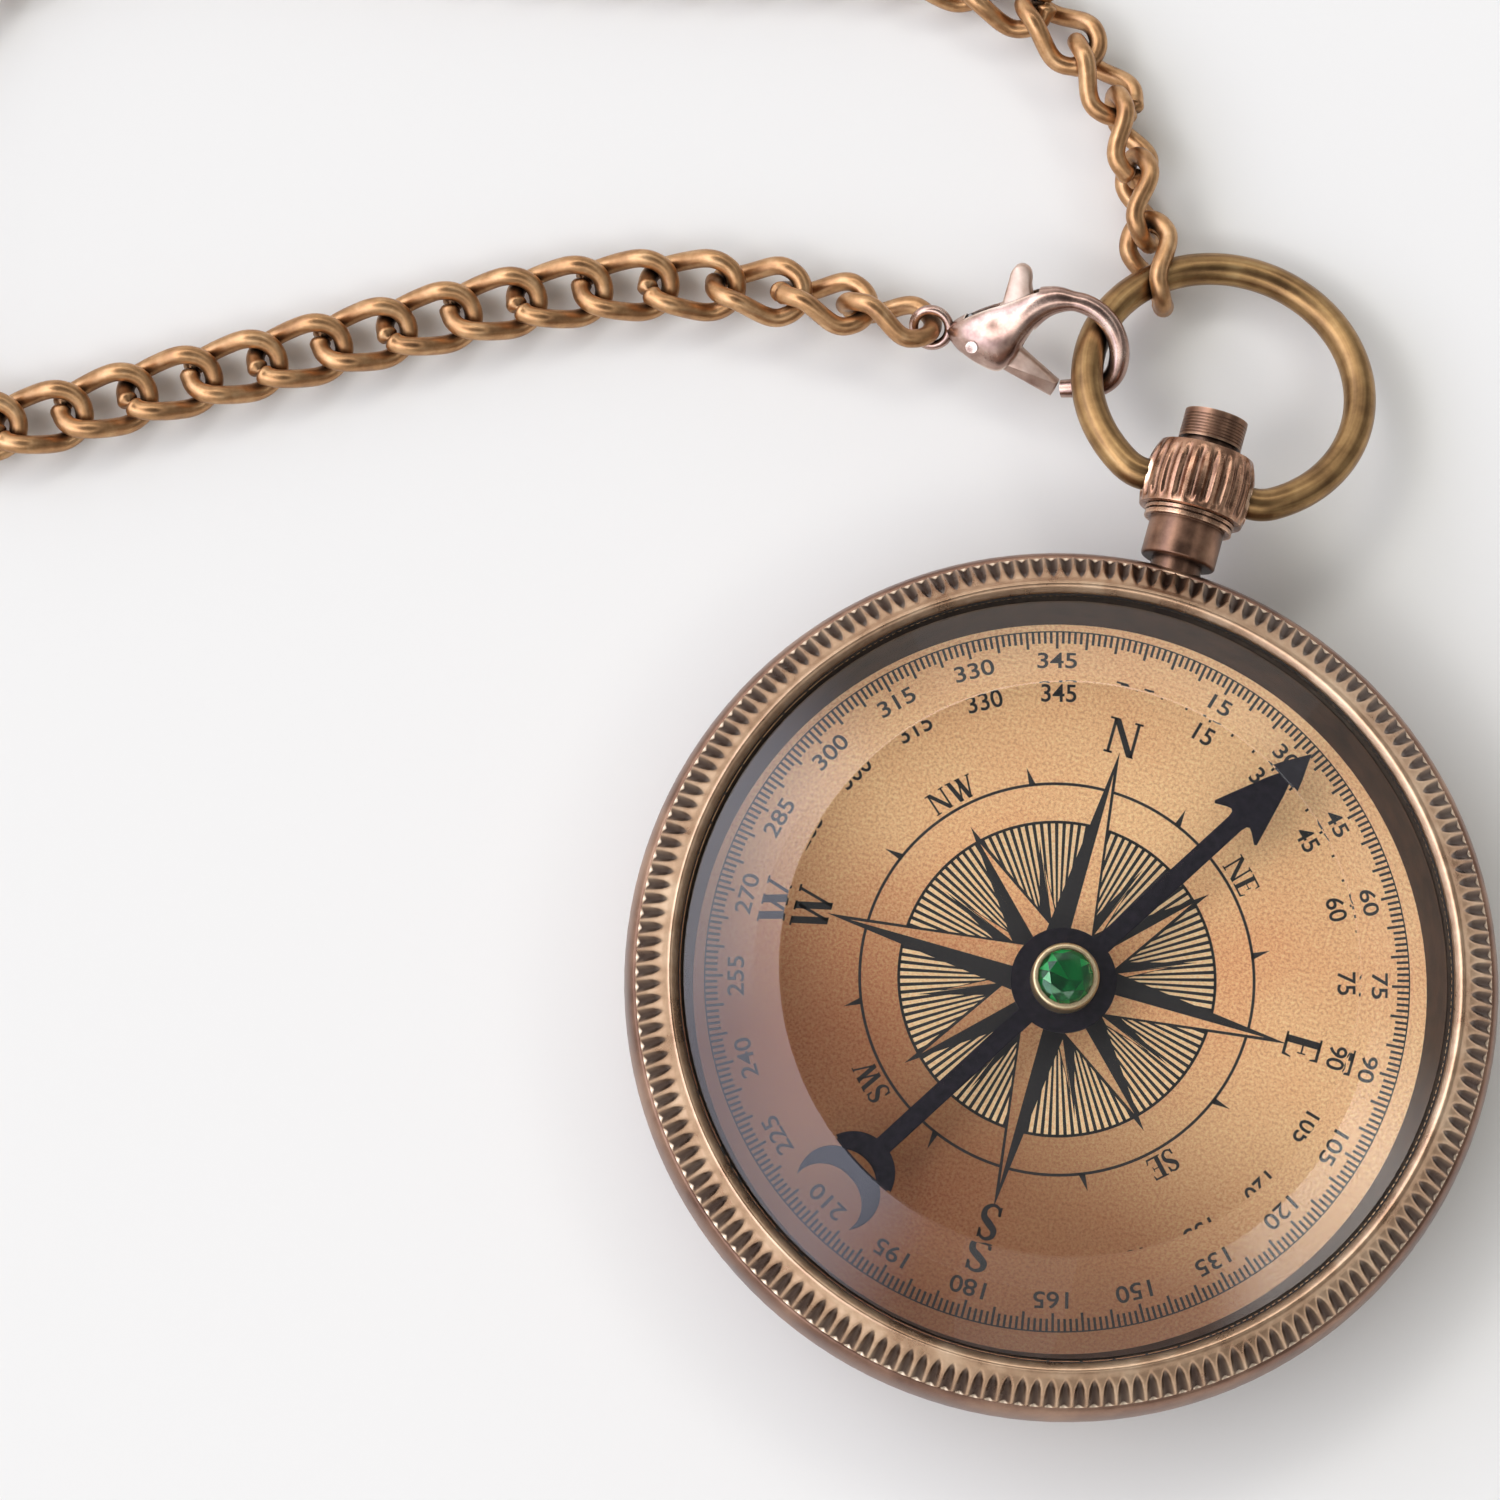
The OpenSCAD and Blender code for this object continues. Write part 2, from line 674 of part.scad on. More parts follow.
module button_spring() {
    count = spring_turns * spring_rings;
    rise = spring_end - spring_start - 2 * spring_wire_r;
    color("#b9bcc0")
    on_pendant(spring_start + spring_wire_r) polyhedron(
        points = [for (i = [0 : count]) each coil_ring(360 * i / spring_rings, rise * i / count)],
        faces = concat(
            [[for (j = [0 : spring_sides - 1]) j]],
            [
                for (i = [0 : count - 1]) for (j = [0 : spring_sides - 1])
                let (k = (j + 1) % spring_sides, a = i * spring_sides, b = a + spring_sides)
                each [[a + j, b + j, b + k], [a + j, b + k, a + k]]
            ],
            [[for (j = [0 : spring_sides - 1]) count * spring_sides + spring_sides - 1 - j]]
        )
    );
}

module button_cap() {
    ring_step = button_h / (button_rings + 2);
    color("#7a5544")
    on_pendant(0) difference() {
        union() {
            translate([0, 0, button_start]) cylinder(r = button_r, h = button_h);
            translate([0, 0, shank_start]) cylinder(r = shank_r, h = button_start - shank_start);
        }
        translate([0, 0, shank_start - cut]) cylinder(r = stem_r, h = stem_seat + cut, $fn = small_fn);
        // Turned rings round the cap
        for (i = [1 : button_rings])
            translate([0, 0, button_start + ring_step * i])
            rotate_extrude() translate([button_r, 0]) circle(button_ring_r, $fn = small_fn);
    }
}

module button_stem() {
    color("#c2c4c7")
    on_pendant(clip_y - stem_end_l)
        cylinder(r = stem_r, h = shank_start + stem_seat - clip_y + stem_end_l, $fn = small_fn);
}

module stem_clip() {
    color("#8d9094")
    on_pendant(clip_y) difference() {
        cylinder(r = clip_r, h = clip_t, $fn = small_fn);
        translate([0, 0, -cut]) cylinder(r = stem_r, h = clip_t + 2 * cut, $fn = small_fn);
    }
}

// The ring runs into two pins that turn in the crown
module bow() {
    pin_l = bow_bend_x + bow_wire_r * tan(bow_end_turn / 2) - bow_pin_in;
    color("#8f7440")
    translate([0, bow_axis_y, pendant_h]) rotate([-bow_tilt, 0, 0]) {
        for (side = [0, 1])
            mirror([side, 0, 0]) translate([bow_pin_in, 0, 0]) rotate([0, 90, 0])
            cylinder(r = bow_wire_r, h = pin_l);
        translate([0, bow_centre, 0]) bend(bow_r, bow_wire_r, bow_end_turn - 90, 270 - bow_end_turn);
    }
}

// One section of the clasp: a ring of points between two ends of the section
clasp_sides = 14;
hook_steps = 9;
hook_end_steps = 5;
function section(low, high, half_t) = [
    for (j = [0 : clasp_sides - 1])
    let (a = 360 * j / clasp_sides, p = (low + high) / 2 + (high - low) / 2 * cos(a))
    [p.x, p.y, half_t * sin(a)]
];
function hook_section(c, r, a) =
    section(c + (r - hook_wire_r) * [cos(a), sin(a)], c + (r + hook_wire_r) * [cos(a), sin(a)], hook_wire_r);
function clasp_sections() = concat(
    [for (s = drop_shares) section(hook_r * s[0], hook_r * s[1], clasp_t / 2 * s[2])],
    [
        for (i = [0 : hook_steps])
        hook_section(hook_c, hook_r, hook_root_turn + (hook_turn - hook_root_turn) * i / hook_steps)
    ],
    [
        for (i = [1 : hook_end_steps])
        hook_section(hook_end_c, hook_end_r, hook_turn + (hook_end_turn - hook_turn) * i / hook_end_steps)
    ],
    [section(hook_tip - finger_across, hook_tip + finger_across, finger_r)]
);

// Clasp: a drop with an eye at its tail, which runs out into the hook
module clasp_body() {
    rings = clasp_sections();
    last = len(rings) - 1;
    color("#a98878")
    on_clasp() {
        difference() {
            polyhedron(
                points = [for (r = rings) each r],
                faces = concat(
                    [[for (j = [0 : clasp_sides - 1]) j]],
                    [
                        for (i = [0 : last - 1]) for (j = [0 : clasp_sides - 1])
                        let (k = (j + 1) % clasp_sides, a = i * clasp_sides, b = a + clasp_sides)
                        each [[a + j, b + j, b + k], [a + j, b + k, a + k]]
                    ],
                    [[for (j = [0 : clasp_sides - 1]) last * clasp_sides + clasp_sides - 1 - j]]
                )
            );
            // Slot for the lever, open above and below
            translate([-slot_back, -2 * hook_r, -slot_t / 2]) cube([slot_back + slot_front, 4 * hook_r, slot_t]);
            translate([rivet_c.x, rivet_c.y, -clasp_t]) cylinder(r = rivet_r, h = 2 * clasp_t, $fn = small_fn);
        }
        translate([eye_c.x, eye_c.y, 0]) rotate_extrude($fn = small_fn) translate([eye_r, 0])
            circle(eye_wire_r, $fn = small_fn);
    }
}

module clasp_rivet() {
    color("#c0a79b")
    on_clasp() translate([rivet_c.x, rivet_c.y, -clasp_t / 2]) cylinder(r = rivet_r, h = clasp_t, $fn = small_fn);
}

module clasp_spring() {
    color("#b9bcc0")
    on_clasp() translate([clasp_spring_c.x, clasp_spring_c.y, -lever_t / 2]) difference() {
        cylinder(r = clasp_spring_r, h = lever_t, $fn = small_fn);
        translate([0, 0, -cut])
            cylinder(r = clasp_spring_r - clasp_spring_wall, h = lever_t + 2 * cut, $fn = small_fn);
    }
}

// Lever: a gate arm that closes on the hook and a thumb lug that stands out of the body
module clasp_lever() {
    color("#b59484")
    on_clasp() translate([0, 0, -lever_t / 2]) linear_extrude(lever_t) difference() {
        union() {
            translate(rivet_c) circle(hub_r, $fn = small_fn);
            polygon(concat(
                [
                    rivet_c + hub_r * arm_shares[0], rivet_c + hub_r * arm_shares[1],
                    gate_end(gate_low), gate_end(gate_high), rivet_c + hub_r * arm_shares[2],
                    lug_tip + lug_r * lug_foot_shares[0]
                ],
                arc(lug_tip, lug_r, 0, 180),
                [lug_tip + lug_r * lug_foot_shares[1], rivet_c + hub_r * arm_shares[3]]
            ));
        }
        translate(rivet_c) circle(rivet_r + running_gap, $fn = small_fn);
    }
}

// One curb link: two bent ends, twisted opposite ways, joined by two slanting sides
module link() {
    for (end = [0, 180]) rotate([0, end, 0]) rotate([link_twist, 0, 0]) {
        for (side = [0, 1]) mirror([0, side, 0])
            translate([link_side, link_end, 0]) bend(link_corner, wire_r, 0, 90);
        translate([link_half, 0, 0]) rotate([90, 0, 0])
            cylinder(r = wire_r, h = 2 * link_end, center = true, $fn = small_fn);
    }
    slant = atan(link_r * sin(link_twist) / link_side);
    side_l = 2 * (link_side / cos(slant) + side_lap_share * wire_r * tan(slant));
    for (side = [-1, 1])
        translate([0, side * link_r * cos(link_twist), 0]) rotate([0, 90 - side * slant, 0])
            cylinder(r = wire_r, h = side_l, center = true, $fn = small_fn);
}

module link_between(a, b, roll) {
    v = b - a;
    translate((a + b) / 2) rotate([0, 0, atan2(v.y, v.x)]) rotate([0, -asin(v.z / norm(v)), 0])
        rotate([roll, 0, 0]) link();
}

module chain_run(from, to) {
    color("#8f7440")
    for (k = [from : to - 1]) link_between(joints[k], joints[k + 1], link_roll(k));
}

module chain_clasp_run() {
    chain_run(0, clasp_run_links);
}

module chain_left_run() {
    chain_run(clasp_run_links, far_middle);
}

module chain_top_run() {
    chain_run(far_middle, link_count - bow_run_links);
}

module chain_bow_run() {
    chain_run(link_count - bow_run_links, link_count);
}

module chain_end_link() {
    color("#8f7440")
    link_between(chain_end, chain_end - link_pitch * end_way, end_roll);
}

case_bowl();
bezel();
crystal();
crystal_gasket();
dial_ring();
dial_plate();
pivot_base();
pivot_pin();
pendant_neck();
crown();
button_spring();
needle_blade();
needle_cap();
bearing_jewel();
gem();
button_cap();
button_stem();
stem_clip();
bow();
clasp_body();
clasp_rivet();
clasp_spring();
chain_clasp_run();
chain_left_run();
chain_top_run();
chain_bow_run();
chain_end_link();
clasp_lever();
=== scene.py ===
import math
import random
import bpy
import bmesh
from mathutils import Matrix, Vector
from mathutils.geometry import tessellate_polygon


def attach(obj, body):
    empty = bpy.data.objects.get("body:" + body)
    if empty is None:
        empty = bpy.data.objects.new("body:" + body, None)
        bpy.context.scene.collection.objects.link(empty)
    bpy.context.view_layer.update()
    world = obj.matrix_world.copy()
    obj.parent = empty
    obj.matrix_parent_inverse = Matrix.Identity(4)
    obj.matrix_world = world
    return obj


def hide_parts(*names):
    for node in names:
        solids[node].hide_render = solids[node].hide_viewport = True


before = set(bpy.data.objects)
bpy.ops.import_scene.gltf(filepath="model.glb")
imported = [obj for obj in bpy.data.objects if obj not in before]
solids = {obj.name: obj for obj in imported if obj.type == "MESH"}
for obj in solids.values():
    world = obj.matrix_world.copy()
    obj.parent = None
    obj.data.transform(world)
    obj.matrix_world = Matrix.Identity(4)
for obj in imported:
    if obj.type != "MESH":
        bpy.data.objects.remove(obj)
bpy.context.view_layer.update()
mm = 0.001  # sizes below are in millimetres and angles in degrees
scene = bpy.context.scene
scene.view_settings.view_transform = "Standard"
print("frame loaded:", len(solids), "solids")


# Small helpers

def linear(hexColour):  # sRGB hex to a linear colour with alpha
    parts = [int(hexColour[i:i + 2], 16) / 255 for i in (1, 3, 5)]
    return [p / 12.92 if p <= 0.04045 else ((p + 0.055) / 1.055) ** 2.4 for p in parts] + [1]


def perMetre(sizeMm):  # texture scale for a pattern of this size
    return 1000 / sizeMm


def addNode(tree, kind, settings=None, inputs=None):  # one node with its settings and its links
    node = tree.nodes.new(kind)
    for name, value in (settings or {}).items():
        if name == "stops":
            elements = node.color_ramp.elements
            while len(elements) < len(value):
                elements.new(0.5)
            for element, (place, colour) in zip(elements, value):
                element.position = place
                element.color = linear(colour) if isinstance(colour, str) else [colour] * 3 + [1]
        else:
            setattr(node, name, value)
    for name, value in (inputs or {}).items():
        socket = node.inputs[name]
        if isinstance(value, bpy.types.NodeSocket):
            tree.links.new(value, socket)
        else:
            socket.default_value = value
    return node


def startMaterial(name):
    material = bpy.data.materials.new(name)
    material.use_nodes = True
    tree = material.node_tree
    tree.nodes.clear()
    output = tree.nodes.new("ShaderNodeOutputMaterial")
    return material, tree, output


def dress(piece, material):  # give a piece its only material
    piece.data.materials.clear()
    piece.data.materials.append(material)


def addMesh(name, points, faces, smooth=True, wire=None):
    mesh = bpy.data.meshes.new(name)
    mesh.from_pydata([[c * mm for c in p] for p in points], [], faces)
    if wire:  # place along and round a wire, for its streaks
        places = mesh.attributes.new("wire", "FLOAT_VECTOR", "POINT")
        places.data.foreach_set("vector", [c for w in wire for c in w])
    mesh.polygons.foreach_set("use_smooth", [smooth] * len(mesh.polygons))
    piece = bpy.data.objects.new(name, mesh)
    scene.collection.objects.link(piece)
    return piece


weldGap, sliver = 1e-8, 1e-9  # metres: points this close are one, faces this thin are none


def addClosed(name, points, faces, wire=None):  # a closed piece, every face looking outwards
    piece = addMesh(name, points, faces, wire=wire)
    shape = bmesh.new()
    shape.from_mesh(piece.data)
    bmesh.ops.remove_doubles(shape, verts=shape.verts, dist=weldGap)
    bmesh.ops.dissolve_degenerate(shape, edges=shape.edges, dist=sliver)
    bmesh.ops.recalc_face_normals(shape, faces=shape.faces)
    shape.to_mesh(piece.data)
    shape.free()
    return piece


def skin(rings, wrap=False, caps=True):  # one surface over a run of closed rings of points
    n, count, faces = len(rings[0]), len(rings), []
    for i in range(count if wrap else count - 1):
        a, b = i * n, (i + 1) % count * n
        faces += [(a + j, a + (j + 1) % n, b + (j + 1) % n, b + j) for j in range(n)]
    if caps and not wrap:
        faces += [list(range(n))[::-1], list(range((count - 1) * n, count * n))]
    return [p for ring in rings for p in ring], faces


def sweep(path, radii, sides, up, wrap):  # round wire along a path; up is never along it
    rings, wire, run = [], [], 0
    last = len(path) - 1
    for i, p in enumerate(path):
        before = path[i - 1] if i or wrap else p
        after = path[(i + 1) % len(path)] if i < last or wrap else p
        run += (p - before).length if i else 0
        side = (after - before).cross(up).normalized()
        over = side.cross(after - before).normalized()
        ring = []
        for j in range(sides):
            a = math.tau * j / sides
            ring.append(p + (side * math.cos(a) + over * math.sin(a)) * radii[i])
            wire.append((run, radii[i] * math.cos(a), radii[i] * math.sin(a)))
        rings.append(ring)
    points, faces = skin(rings, wrap)
    return points, faces, wire


def joined(parts):  # several lots of points, faces and places on the wire as one
    points, faces, wire = [], [], []
    for part in parts:
        faces += [[len(points) + i for i in face] for face in part[1]]
        points += part[0]
        wire += part[2]
    return points, faces, wire


def carve(piece, tool, operation="DIFFERENCE"):  # worked through at once; the tool goes
    change = piece.modifiers.new("carve", "BOOLEAN")
    change.operation, change.object, change.solver = operation, tool, "EXACT"
    graph = bpy.context.evaluated_depsgraph_get()
    shape = bpy.data.meshes.new_from_object(piece.evaluated_get(graph))
    piece.modifiers.clear()
    piece.data = shape
    bpy.data.objects.remove(tool)


def turned(p, roll, pitch, heading):  # about x, then y, then z, as in the construction
    roll, pitch, heading = (math.radians(angle) for angle in (roll, pitch, heading))
    x, y, z = p
    y, z = y * math.cos(roll) - z * math.sin(roll), y * math.sin(roll) + z * math.cos(roll)
    x, z = x * math.cos(pitch) - z * math.sin(pitch), x * math.sin(pitch) + z * math.cos(pitch)
    x, y = x * math.cos(heading) - y * math.sin(heading), x * math.sin(heading) + y * math.cos(heading)
    return Vector((x, y, z))


def around(c, r, start, end, steps):  # an outline's arc
    spots = [math.radians(start + (end - start) * i / steps) for i in range(steps + 1)]
    return [(c[0] + r * math.cos(a), c[1] + r * math.sin(a)) for a in spots]


def along(p, q, r, s, t):  # a smooth curve from q to r
    return (2 * q + (r - p) * t + (2 * p - 5 * q + 4 * r - s) * t * t + (3 * q - p - 3 * r + s) * t ** 3) / 2


def smoothed(spots, steps):  # a smooth open curve through places
    spots = [Vector(s) for s in spots]
    last = len(spots) - 1
    fine = [along(spots[max(i - 1, 0)], spots[i], spots[i + 1], spots[min(i + 2, last)], j / steps)
            for i in range(last) for j in range(steps)]
    return fine + [spots[last]]


def inset(outline, gap):  # an outline drawn in by a gap; it runs anticlockwise
    drawn, n, sharpest = [], len(outline), 0.45  # a sharper corner than that isn't drawn in further
    for i in range(n):
        a, b, c = (Vector(outline[(i + k) % n]) for k in (-1, 0, 1))
        one, two = (b - a).normalized(), (c - b).normalized()
        one, two = Vector((-one.y, one.x)), Vector((-two.y, two.x))
        drawn.append(b + (one + two) * (gap / max(1 + one.dot(two), sharpest)))
    return drawn


def plate(outline, layers):  # flat plate with eased edges: heights, each with its inset
    points, faces = skin([[(p[0], p[1], z) for p in inset(outline, gap)] for z, gap in layers], caps=False)
    cover = tessellate_polygon([[(*p, 0) for p in outline]])
    last = len(points) - len(outline)
    return points, faces + [list(f) for f in cover] + [[i + last for i in f] for f in cover]


def revolve(profile, steps, shift):  # about z; shift gives each place its depth in a flute
    rings, wire = [], []
    for i in range(steps):
        a = math.tau * i / steps
        ring = [shift(k, r, z, a) for k, (r, z) in enumerate(profile)]
        rings.append([(r * math.cos(a), r * math.sin(a), z) for r, z, share in ring])
        wire += [(share, 0, 0) for r, z, share in ring]
    return (*skin(rings, wrap=True), wire)


def markSharp(piece, degrees):  # keep hard edges hard under smooth shading
    shape = bmesh.new()
    shape.from_mesh(piece.data)
    for edge in shape.edges:
        if len(edge.link_faces) == 2 and edge.calc_face_angle(0) > math.radians(degrees):
            edge.smooth = False
    shape.to_mesh(piece.data)
    shape.free()


def place(piece, body, slot, material, *nodes):  # body, slot (not used), finish and the solids it stands for
    dress(piece, material)
    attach(piece, body)
    if nodes:
        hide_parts(*nodes)


def between(a, b, t):
    return a + (b - a) * t


def smoothStep(t):
    t = min(max(t, 0), 1)
    return t * t * (3 - 2 * t)


# Camera, floor and light

camera = {
    "lens": 168, "sensor": 36, "clip": (0.01, 20), "place": (-16.107, -71.410, 457.532),
    "right": (0.96278, 0.26839, 0.03188), "up": (-0.26977, 0.94704, 0.17419),
}
cameraData = bpy.data.cameras.new("camera")
cameraData.lens = camera["lens"]
cameraData.sensor_width = camera["sensor"]
cameraData.clip_start, cameraData.clip_end = camera["clip"]
cameraObject = bpy.data.objects.new("camera", cameraData)
right, up = Vector(camera["right"]).normalized(), Vector(camera["up"]).normalized()
turn = Matrix((right, up, right.cross(up))).transposed().to_4x4()
cameraObject.matrix_world = Matrix.Translation(Vector(camera["place"]) * mm) @ turn
scene.collection.objects.link(cameraObject)
scene.camera = cameraObject

studio = {
    "floor": "#eeece6", "halfSize": 900, "floorZ": -0.2,
    "sky": [(0.0, 0.98), (0.3, 0.82), (0.58, 0.34), (0.68, 0.34),  # its light by height
            (0.72, 3.0), (0.8, 3.0), (0.85, 0.2), (1.0, 0.08)],
    "side": (-0.5, 0.7, 1.35, 0.38),  # from left to right: where it fades, and its two strengths
    "window": {  # a wide soft window low on the left: its way, its sides, its heights
        "way": 197, "sides": (0.34, 0.6), "heights": [(0.32, 0.0), (0.5, 1.0), (0.7, 1.0), (0.8, 0.0)],
        "colour": "#dfe3fb", "strength": 2.9,
    },
}
floorMaterial, tree, output = startMaterial("painted paper sweep")  # even, matt and pale
floorShader = addNode(tree, "ShaderNodeBsdfDiffuse", inputs={"Color": linear(studio["floor"])})
tree.links.new(floorShader.outputs[0], output.inputs["Surface"])
half = studio["halfSize"]
corners = [(-half, -half), (half, -half), (half, half), (-half, half)]
floor = addMesh("floor", [(*corner, studio["floorZ"]) for corner in corners], [(0, 1, 2, 3)])
dress(floor, floorMaterial)

world = bpy.data.worlds.new("studio")
scene.world = world
world.use_nodes = True
tree = world.node_tree
tree.nodes.clear()
coords = addNode(tree, "ShaderNodeTexCoord")
height = addNode(tree, "ShaderNodeSeparateXYZ", inputs={0: coords.outputs["Generated"]})
sky = addNode(tree, "ShaderNodeValToRGB", {"stops": studio["sky"]}, {"Fac": height.outputs["Z"]})
fadeFrom, fadeTo, leftLight, rightLight = studio["side"]
sideLight = addNode(tree, "ShaderNodeMapRange", {"interpolation_type": "SMOOTHSTEP"}, {
    "Value": height.outputs["X"], "From Min": fadeFrom, "From Max": fadeTo,
    "To Min": leftLight, "To Max": rightLight})
even = addNode(tree, "ShaderNodeBackground", inputs={
    "Color": sky.outputs["Color"], "Strength": sideLight.outputs["Result"]})
window = studio["window"]
way = math.radians(window["way"])
facing = addNode(tree, "ShaderNodeVectorMath", {"operation": "DOT_PRODUCT"}, {
    0: coords.outputs["Generated"], 1: (math.cos(way), math.sin(way), 0)})
glow = addNode(tree, "ShaderNodeMapRange", {"interpolation_type": "SMOOTHSTEP"}, {
    "Value": facing.outputs["Value"], "From Min": window["sides"][0], "From Max": window["sides"][1],
    "To Min": 0, "To Max": window["strength"]})
pane = addNode(tree, "ShaderNodeValToRGB", {"stops": window["heights"]}, {"Fac": height.outputs["Z"]})
shine = addNode(tree, "ShaderNodeMath", {"operation": "MULTIPLY"}, {
    0: glow.outputs["Result"], 1: pane.outputs["Color"]})
light = addNode(tree, "ShaderNodeBackground", inputs={
    "Color": linear(window["colour"]), "Strength": shine.outputs[0]})
total = addNode(tree, "ShaderNodeAddShader", inputs={0: even.outputs[0], 1: light.outputs[0]})
addNode(tree, "ShaderNodeOutputWorld", inputs={"Surface": total.outputs[0]})

fill = {  # a weak lamp: its direction from the compass, distance, size, and power in watts
    "from": (0.1, -0.5, 0.86), "away": 900, "size": 700, "power": 0.3, "colour": "#f4f6ff",
}
lamp = bpy.data.lights.new("fill", "AREA")
lamp.shape = "DISK"
lamp.size = fill["size"] * mm
lamp.energy = fill["power"]
lamp.color = linear(fill["colour"])[:3]
lampObject = bpy.data.objects.new("fill", lamp)
way = Vector(fill["from"]).normalized()
lampObject.location = way * fill["away"] * mm
lampObject.rotation_mode = "QUATERNION"
lampObject.rotation_quaternion = way.to_track_quat("Z", "Y")
scene.collection.objects.link(lampObject)
print("camera, floor and light set")


# Finishes

plating = {  # how finely the patterns are worked out, the noise's usual span, the grain's depth
    "blotchDetail": 6, "blotchRough": 0.62, "lineDetail": 4, "grainDetail": 3, "rays": 8,
    "span": (0.3, 0.7), "grainDeepMm": 0.02,
}


# A colour mix has its factor at input 0, its colours at 6 and 7, and its result at output 2
def antiqueMetal(name, look):  # plated, darkened with patina and rubbed back on the high places
    material, tree, output = startMaterial(name)
    coords = addNode(tree, "ShaderNodeTexCoord")
    blotch = addNode(tree, "ShaderNodeTexNoise", inputs={
        "Vector": coords.outputs["Object"], "Scale": perMetre(look["blotchMm"]),
        "Detail": plating["blotchDetail"], "Roughness": plating["blotchRough"]})
    patches = blotch.outputs["Fac"]
    if "streak" in look:  # drawn lines that follow the wire: their length, their width and their share
        lineLong, lineWide, share = look["streak"]
        wire = addNode(tree, "ShaderNodeAttribute", {"attribute_name": "wire"})
        drawn = addNode(tree, "ShaderNodeVectorMath", {"operation": "MULTIPLY"}, {
            0: wire.outputs["Vector"], 1: [1 / lineLong, 1 / lineWide, 1 / lineWide]})
        lines = addNode(tree, "ShaderNodeTexNoise", inputs={
            "Vector": drawn.outputs[0], "Scale": 1, "Detail": plating["lineDetail"]})
        merged = addNode(tree, "ShaderNodeMix", {"data_type": "FLOAT"}, {
            0: share, 2: blotch.outputs["Fac"], 3: lines.outputs["Fac"]})
        patches = merged.outputs[0]
    tone = addNode(tree, "ShaderNodeValToRGB", {"stops": look["tones"]}, {"Fac": patches})
    shade = addNode(tree, "ShaderNodeAmbientOcclusion", {"samples": plating["rays"]}, {
        "Distance": look["recessMm"] * mm})
    depth = addNode(tree, "ShaderNodeValToRGB", {"stops": look["recess"]}, {"Fac": shade.outputs["AO"]})
    cleared = depth.outputs["Color"]  # black where the patina stays
    if "groove" in look:  # patina left down in the flutes
        flute = addNode(tree, "ShaderNodeAttribute", {"attribute_name": "wire"})
        split = addNode(tree, "ShaderNodeSeparateXYZ", inputs={0: flute.outputs["Vector"]})
        left = addNode(tree, "ShaderNodeValToRGB", {"stops": look["groove"]}, {"Fac": split.outputs["X"]})
        both = addNode(tree, "ShaderNodeMix", {"data_type": "RGBA", "blend_type": "MULTIPLY"}, {
            0: 1, 6: cleared, 7: left.outputs["Color"]})
        cleared = both.outputs[2]
    dark = addNode(tree, "ShaderNodeMix", {"data_type": "RGBA"}, {
        0: cleared, 6: linear(look["patina"]), 7: tone.outputs["Color"]})
    rub = addNode(tree, "ShaderNodeAmbientOcclusion", {"samples": plating["rays"], "inside": True}, {
        "Distance": look["edgeMm"] * mm})
    worn = addNode(tree, "ShaderNodeValToRGB", {"stops": look["wear"]}, {"Fac": rub.outputs["AO"]})
    bright = addNode(tree, "ShaderNodeMix", {"data_type": "RGBA"}, {
        0: worn.outputs["Color"], 6: dark.outputs[2], 7: linear(look["bare"])})
    grain = addNode(tree, "ShaderNodeTexNoise", inputs={
        "Vector": coords.outputs["Object"], "Scale": perMetre(look["grainMm"]),
        "Detail": plating["grainDetail"]})
    rough = addNode(tree, "ShaderNodeMapRange", inputs={
        "Value": patches, "From Min": plating["span"][0], "From Max": plating["span"][1],
        "To Min": look["rough"][0], "To Max": look["rough"][1]})
    bump = addNode(tree, "ShaderNodeBump", inputs={
        "Height": grain.outputs["Fac"], "Strength": look["bump"], "Distance": plating["grainDeepMm"] * mm})
    surface = addNode(tree, "ShaderNodeBsdfPrincipled", inputs={
        "Base Color": bright.outputs[2], "Metallic": look["metallic"], "Roughness": rough.outputs["Result"],
        "Normal": bump.outputs["Normal"]})
    tree.links.new(surface.outputs[0], output.inputs["Surface"])
    return material


# Antique copper plate on turned brass: warm brown, purple-grey in the recesses, pinkish where rubbed
caseCopper = antiqueMetal("antique copper plate turned", {
    "blotchMm": 5, "tones": [(0.3, "#6a4e42"), (0.5, "#8b6b5a"), (0.7, "#ab8a74")],
    "recessMm": 1.2, "recess": [(0.25, 0.0), (0.8, 1.0)], "patina": "#2e2428",
    "edgeMm": 0.5, "wear": [(0.35, 1.0), (0.75, 0.0)], "bare": "#e6c3a4",
    "grainMm": 0.12, "bump": 0.25, "rough": (0.28, 0.42), "metallic": 0.93})
# The same plate on the coin edge, rubbed brighter by the pocket
bezelCopper = antiqueMetal("antique copper plate knurled", {
    "blotchMm": 3.2, "tones": [(0.3, "#9a785e"), (0.5, "#c3a183"), (0.72, "#dfc2a3")],
    "groove": [(0.1, 1.0), (0.4, 0.32), (0.9, 0.12)],
    "recessMm": 0.5, "recess": [(0.3, 0.0), (0.9, 1.0)], "patina": "#2c2324",
    "edgeMm": 0.16, "wear": [(0.3, 1.0), (0.7, 0.0)], "bare": "#f3dcc2",
    "grainMm": 0.1, "bump": 0.3, "rough": (0.24, 0.38), "metallic": 0.94})
# Dark unrubbed plate where fingers don't reach
neckCopper = antiqueMetal("antique copper plate unrubbed", {
    "blotchMm": 2.2, "tones": [(0.3, "#634a3d"), (0.5, "#8a6854"), (0.72, "#ad866d")],
    "recessMm": 0.9, "recess": [(0.3, 0.0), (0.9, 1.0)], "patina": "#1f1917",
    "edgeMm": 0.25, "wear": [(0.3, 1.0), (0.7, 0.0)], "bare": "#c9a68a",
    "grainMm": 0.1, "bump": 0.3, "rough": (0.28, 0.42), "metallic": 0.93})
